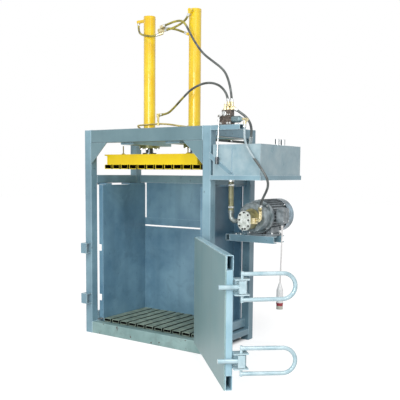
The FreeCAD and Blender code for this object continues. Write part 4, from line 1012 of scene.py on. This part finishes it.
def smooth_length(line: np.ndarray) -> float:
    """Length of the smooth line on a route's points.

    A quadratic B-spline runs through the midpoints of its polygon's inner legs; between two of them
    it is a parabola with the point between as its control.

    Args:
        line: the route's points.

    Returns:
        The length in the points' unit.
    """
    mid = (line[1:] + line[:-1]) / 2
    starts = np.vstack([line[:1], mid[1:-1]])
    ends = np.vstack([mid[1:-1], line[-1:]])
    t = np.linspace(0, 1, CURVE_STEPS)[:, None, None]
    paths = (1 - t) ** 2 * starts + 2 * t * (1 - t) * line[1:-1] + t ** 2 * ends
    return float(np.linalg.norm(np.diff(paths, axis=0), axis=2).sum())


HOSES: tuple[Cord, ...] = (
    Cord("hose_feed", (
        (863, 40, 2045), (841, 64, 2132), (784, 98, 2252), (726, 120, 2321), (606, 151, 2397),
        (476, 185, 2481), (347, 228, 2621), (244, 269, 2761), (186, 282, 2798), (98, 300, 2801),
        (23, 315, 2792), (-36, 327, 2785),
    )),
    Cord("hose_left", (
        (-384, 397, 2856), (-374, 384, 2819), (-350, 362, 2780), (-313, 336, 2748), (-252, 314, 2725),
        (-191, 316, 2711), (-139, 328, 2709), (-103, 343, 2722),
    )),
    Cord("hose_right", (
        (-30, 336, 2748), (30, 334, 2752), (85, 331, 2762), (140, 326, 2776), (190, 320, 2795),
        (230, 313, 2822), (254, 308, 2855),
    )),
    Cord("hose_cross", (
        (-36, 356, 2768), (20, 364, 2764), (80, 376, 2747), (130, 386, 2726), (170, 394, 2707),
    )),
    Cord("hose_return", (
        (831, 40, 2047), (813, 53, 2094), (774, 73, 2143), (708, 97, 2192), (615, 123, 2222),
        (515, 151, 2226), (436, 173, 2212), (353, 198, 2188), (265, 228, 2143), (200, 250, 2105),
        (127, 275, 2063), (53, 299, 2024), (-9, 315, 2011), (-70, 333, 2010),
    )),
    Cord("hose_drain", (
        (889, 44, 1992), (929, 56, 1965), (977, 71, 1928), (1004, 85, 1884), (1010, 98, 1838),
        (1003, 108, 1795), (992, 117, 1753),
    ), 20.0),
    Cord("hose_pressure", (
        (1020, -22, 1866), (1018, -25, 1812), (1023, -27, 1757), (1042, -27, 1702), (1072, -28, 1654),
        (1108, -27, 1606), (1150, -26, 1555), (1190, -23, 1503), (1218, -14, 1452), (1218, 4, 1403),
        (1190, 26, 1356), (1154, 48, 1314), (1124, 70, 1274), (1102, 94, 1232),
    ), finish=Paint.PRESSURE),
    Cord("hose_suction", (
        (828, 100, 1426), (830, 100, 1311), (830, 100, 1196),
    ), 42.0, Paint.SUCTION, "suction_rubber", free=False),
    Cord("motor_lead", (
        (1140, 391, 1070), (1142, 390, 1005), (1139, 388, 930), (1142, 386, 850), (1138, 384, 770),
        (1139, 382, 685), (1136, 380, 600),
    ), 12.0, Paint.LEAD, "lead_rubber", End.PLUG, Stiffness.MEDIUM),
)


def fit_crimps(shop: Workshop) -> None:
    """Crimps a bright sleeve on both ends of every hose but the suction hose.

    Args:
        shop: where the finish comes from.
    """
    sleeves = Shells("hose_crimps")
    for cord in HOSES:
        if cord.slot == "hose_rubber":
            cord.crimp(sleeves)
    sleeves.make(shop, Paint.ZINC)


@dataclass
class Studio:
    """White floor, soft light and the photograph's camera, in metres and degrees."""

    eye: Place = (3.5766, -4.3011, 1.4972)
    yaw: float = 34.704
    pitch: float = -5.10
    roll: float = 0.4566
    focal_px: float = 646.65
    rise_px: float = 30.04
    picture_px: int = 400
    sensor_mm: float = 36.0
    far: float = 60.0
    air: float = 0.44
    lift: float = 0.64
    floor_half: float = 26.0
    floor_tone: float = 0.6
    fade: tuple[float, float] = (0.08, 0.01)
    sun_from: Place = (3.2, -3.4, 5.4)
    sun_angle: float = 24.0
    sun_strength: float = 1.05

    def camera(self) -> None:
        """Places the camera: forward from yaw and pitch, right level, then rolled about forward."""
        yaw, pitch, roll = (math.radians(a) for a in (self.yaw, self.pitch, self.roll))
        ahead = Vector((-math.sin(yaw) * math.cos(pitch), math.cos(yaw) * math.cos(pitch), math.sin(pitch)))
        right = Vector((math.cos(yaw), math.sin(yaw), 0.0))
        above = right.cross(ahead)
        axis_x = right * math.cos(roll) + above * math.sin(roll)
        axis_y = above * math.cos(roll) - right * math.sin(roll)
        data = bpy.data.cameras.new("eye")
        data.sensor_width = self.sensor_mm
        data.lens = self.focal_px / self.picture_px * self.sensor_mm
        data.shift_y = self.rise_px / self.picture_px
        data.clip_end = self.far
        cam = stand("eye", data)
        turn = Matrix((axis_x, axis_y, -ahead)).transposed()
        cam.matrix_world = Matrix.Translation(self.eye) @ turn.to_4x4()
        bpy.context.scene.camera = cam

    def lamp(self, name: str, place: Place, aim: Place, size: float, watts: float) -> None:
        """Adds one soft square lamp aimed at a point, out of the camera's sight.

        Args:
            name: the lamp's name.
            place: where it stands.
            aim: the point that it faces.
            size: its side.
            watts: its power.
        """
        data = bpy.data.lights.new(name, "AREA")
        data.size = size
        data.energy = watts
        obj = stand(name, data)
        obj.location = place
        obj.rotation_euler = (Vector(aim) - Vector(place)).to_track_quat("-Z", "Y").to_euler()
        obj.visible_camera = False

    def sun(self) -> None:
        """Adds one wide sun that lights the floor evenly."""
        data = bpy.data.lights.new("day", "SUN")
        data.energy = self.sun_strength
        data.angle = math.radians(self.sun_angle)
        stand("day", data).rotation_euler = (-Vector(self.sun_from)).to_track_quat("-Z", "Y").to_euler()

    def seen(self, tree: Tree) -> Socket:
        """Gives 1 for what the camera, mirrors and glass see, and 0 for light on surfaces.

        Args:
            tree: the node tree to add to.

        Returns:
            The value's socket.
        """
        path = add(tree, "LightPath")
        first = add(tree, "Math", {0: path.outputs["Is Camera Ray"], 1: path.outputs["Is Glossy Ray"]},
                    operation="MAXIMUM")
        return add(tree, "Math", {0: first.outputs["Value"], 1: path.outputs["Is Transmission Ray"]},
                   operation="MAXIMUM").outputs["Value"]

    def beside(self, tree: Tree) -> Socket:
        """Gives 0 on the floor under the frame and 1 beside it, by the distance from its middle.

        Args:
            tree: the node tree to add to.

        Returns:
            The value's socket.
        """
        parts = add(tree, "SeparateXYZ", {"Vector": add(tree, "TexCoord").outputs["Object"]})
        (left, near, _), (right, far, _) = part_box("frame_posts")
        edges = []
        for axis, low, high in ((0, left, right), (1, near, far)):
            off = add(tree, "Math", {0: parts.outputs[axis], 1: (low + high) / 2}, operation="SUBTRACT")
            away = add(tree, "Math", {0: off.outputs["Value"]}, operation="ABSOLUTE")
            half = (high - low) / 2
            edges.append(add(tree, "MapRange", {
                "Value": away.outputs["Value"], "From Min": half - self.fade[0],
                "From Max": half - self.fade[1]}).outputs["Result"])
        return add(tree, "Math", {0: edges[0], 1: edges[1]}, operation="MAXIMUM").outputs["Value"]

    def floor(self) -> None:
        """Lays a pale floor that shows white where it is lit and keeps the shadow."""
        mesh = bpy.data.meshes.new("studio_floor")
        span = self.floor_half
        corners = [(-span, -span, 0), (span, -span, 0), (span, span, 0), (-span, span, 0)]
        mesh.from_pydata(corners, [], [(0, 1, 2, 3)])
        obj = stand("studio_floor", mesh)
        obj.location = (0.0, 0.0, -MM)
        mat = bpy.data.materials.new("studio_floor_paint")
        tree = blank(mat)
        matte = add(tree, "BsdfDiffuse", {"Color": (*[self.floor_tone] * 3, 1.0)})
        open_air = add(tree, "Math", {0: self.seen(tree), 1: self.beside(tree)}, operation="MULTIPLY")
        lift = add(tree, "Math", {0: open_air.outputs["Value"], 1: self.lift}, operation="MULTIPLY")
        glow = add(tree, "Emission", {"Color": WHITE, "Strength": lift.outputs["Value"]})
        both = add(tree, "AddShader", {0: matte.outputs["BSDF"], 1: glow.outputs["Emission"]})
        add(tree, "OutputMaterial", {"Surface": both.outputs["Shader"]})
        mesh.materials.append(mat)

    def world(self) -> None:
        """Lights the room evenly; the camera, mirrors and glass see plain white."""
        room = bpy.data.worlds.new("studio_air")
        tree = blank(room)
        dim = add(tree, "Background", {"Color": WHITE, "Strength": self.air})
        white = add(tree, "Background", {"Color": WHITE, "Strength": 1.0})
        mix = add(tree, "MixShader", {0: self.seen(tree), 1: dim.outputs["Background"],
                                      2: white.outputs["Background"]})
        add(tree, "OutputWorld", {"Surface": mix.outputs["Shader"]})
        bpy.context.scene.world = room

    def build(self) -> None:
        """Sets the whole studio."""
        self.camera()
        self.floor()
        self.world()
        self.sun()
        self.lamp("key", (4.6, -3.2, 3.4), (0.4, -0.4, 1.2), size=2.0, watts=22.0)
        self.lamp("fill", (2.2, -5.6, 2.0), (0.0, 0.4, 0.9), size=2.6, watts=195.0)
        bpy.context.scene.view_settings.view_transform = "Standard"


def main() -> None:
    """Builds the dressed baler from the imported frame."""
    logging.basicConfig(level=logging.INFO, format="%(name)s: %(message)s")
    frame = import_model()
    shop = Workshop(frame)
    Studio().build()
    carried = {"hose_feed": ["hose_tee"], "motor_lead": ["lead_plug"]}
    for cord in HOSES:
        cord.build(shop, [frame["nodes"][name] for name in carried.get(cord.node, [])])
    fit_crimps(shop)
    for part in (Frame(shop), Ram(shop), Door(shop), Power(shop)):
        part.dress()


if __name__ == "__main__":
    main()
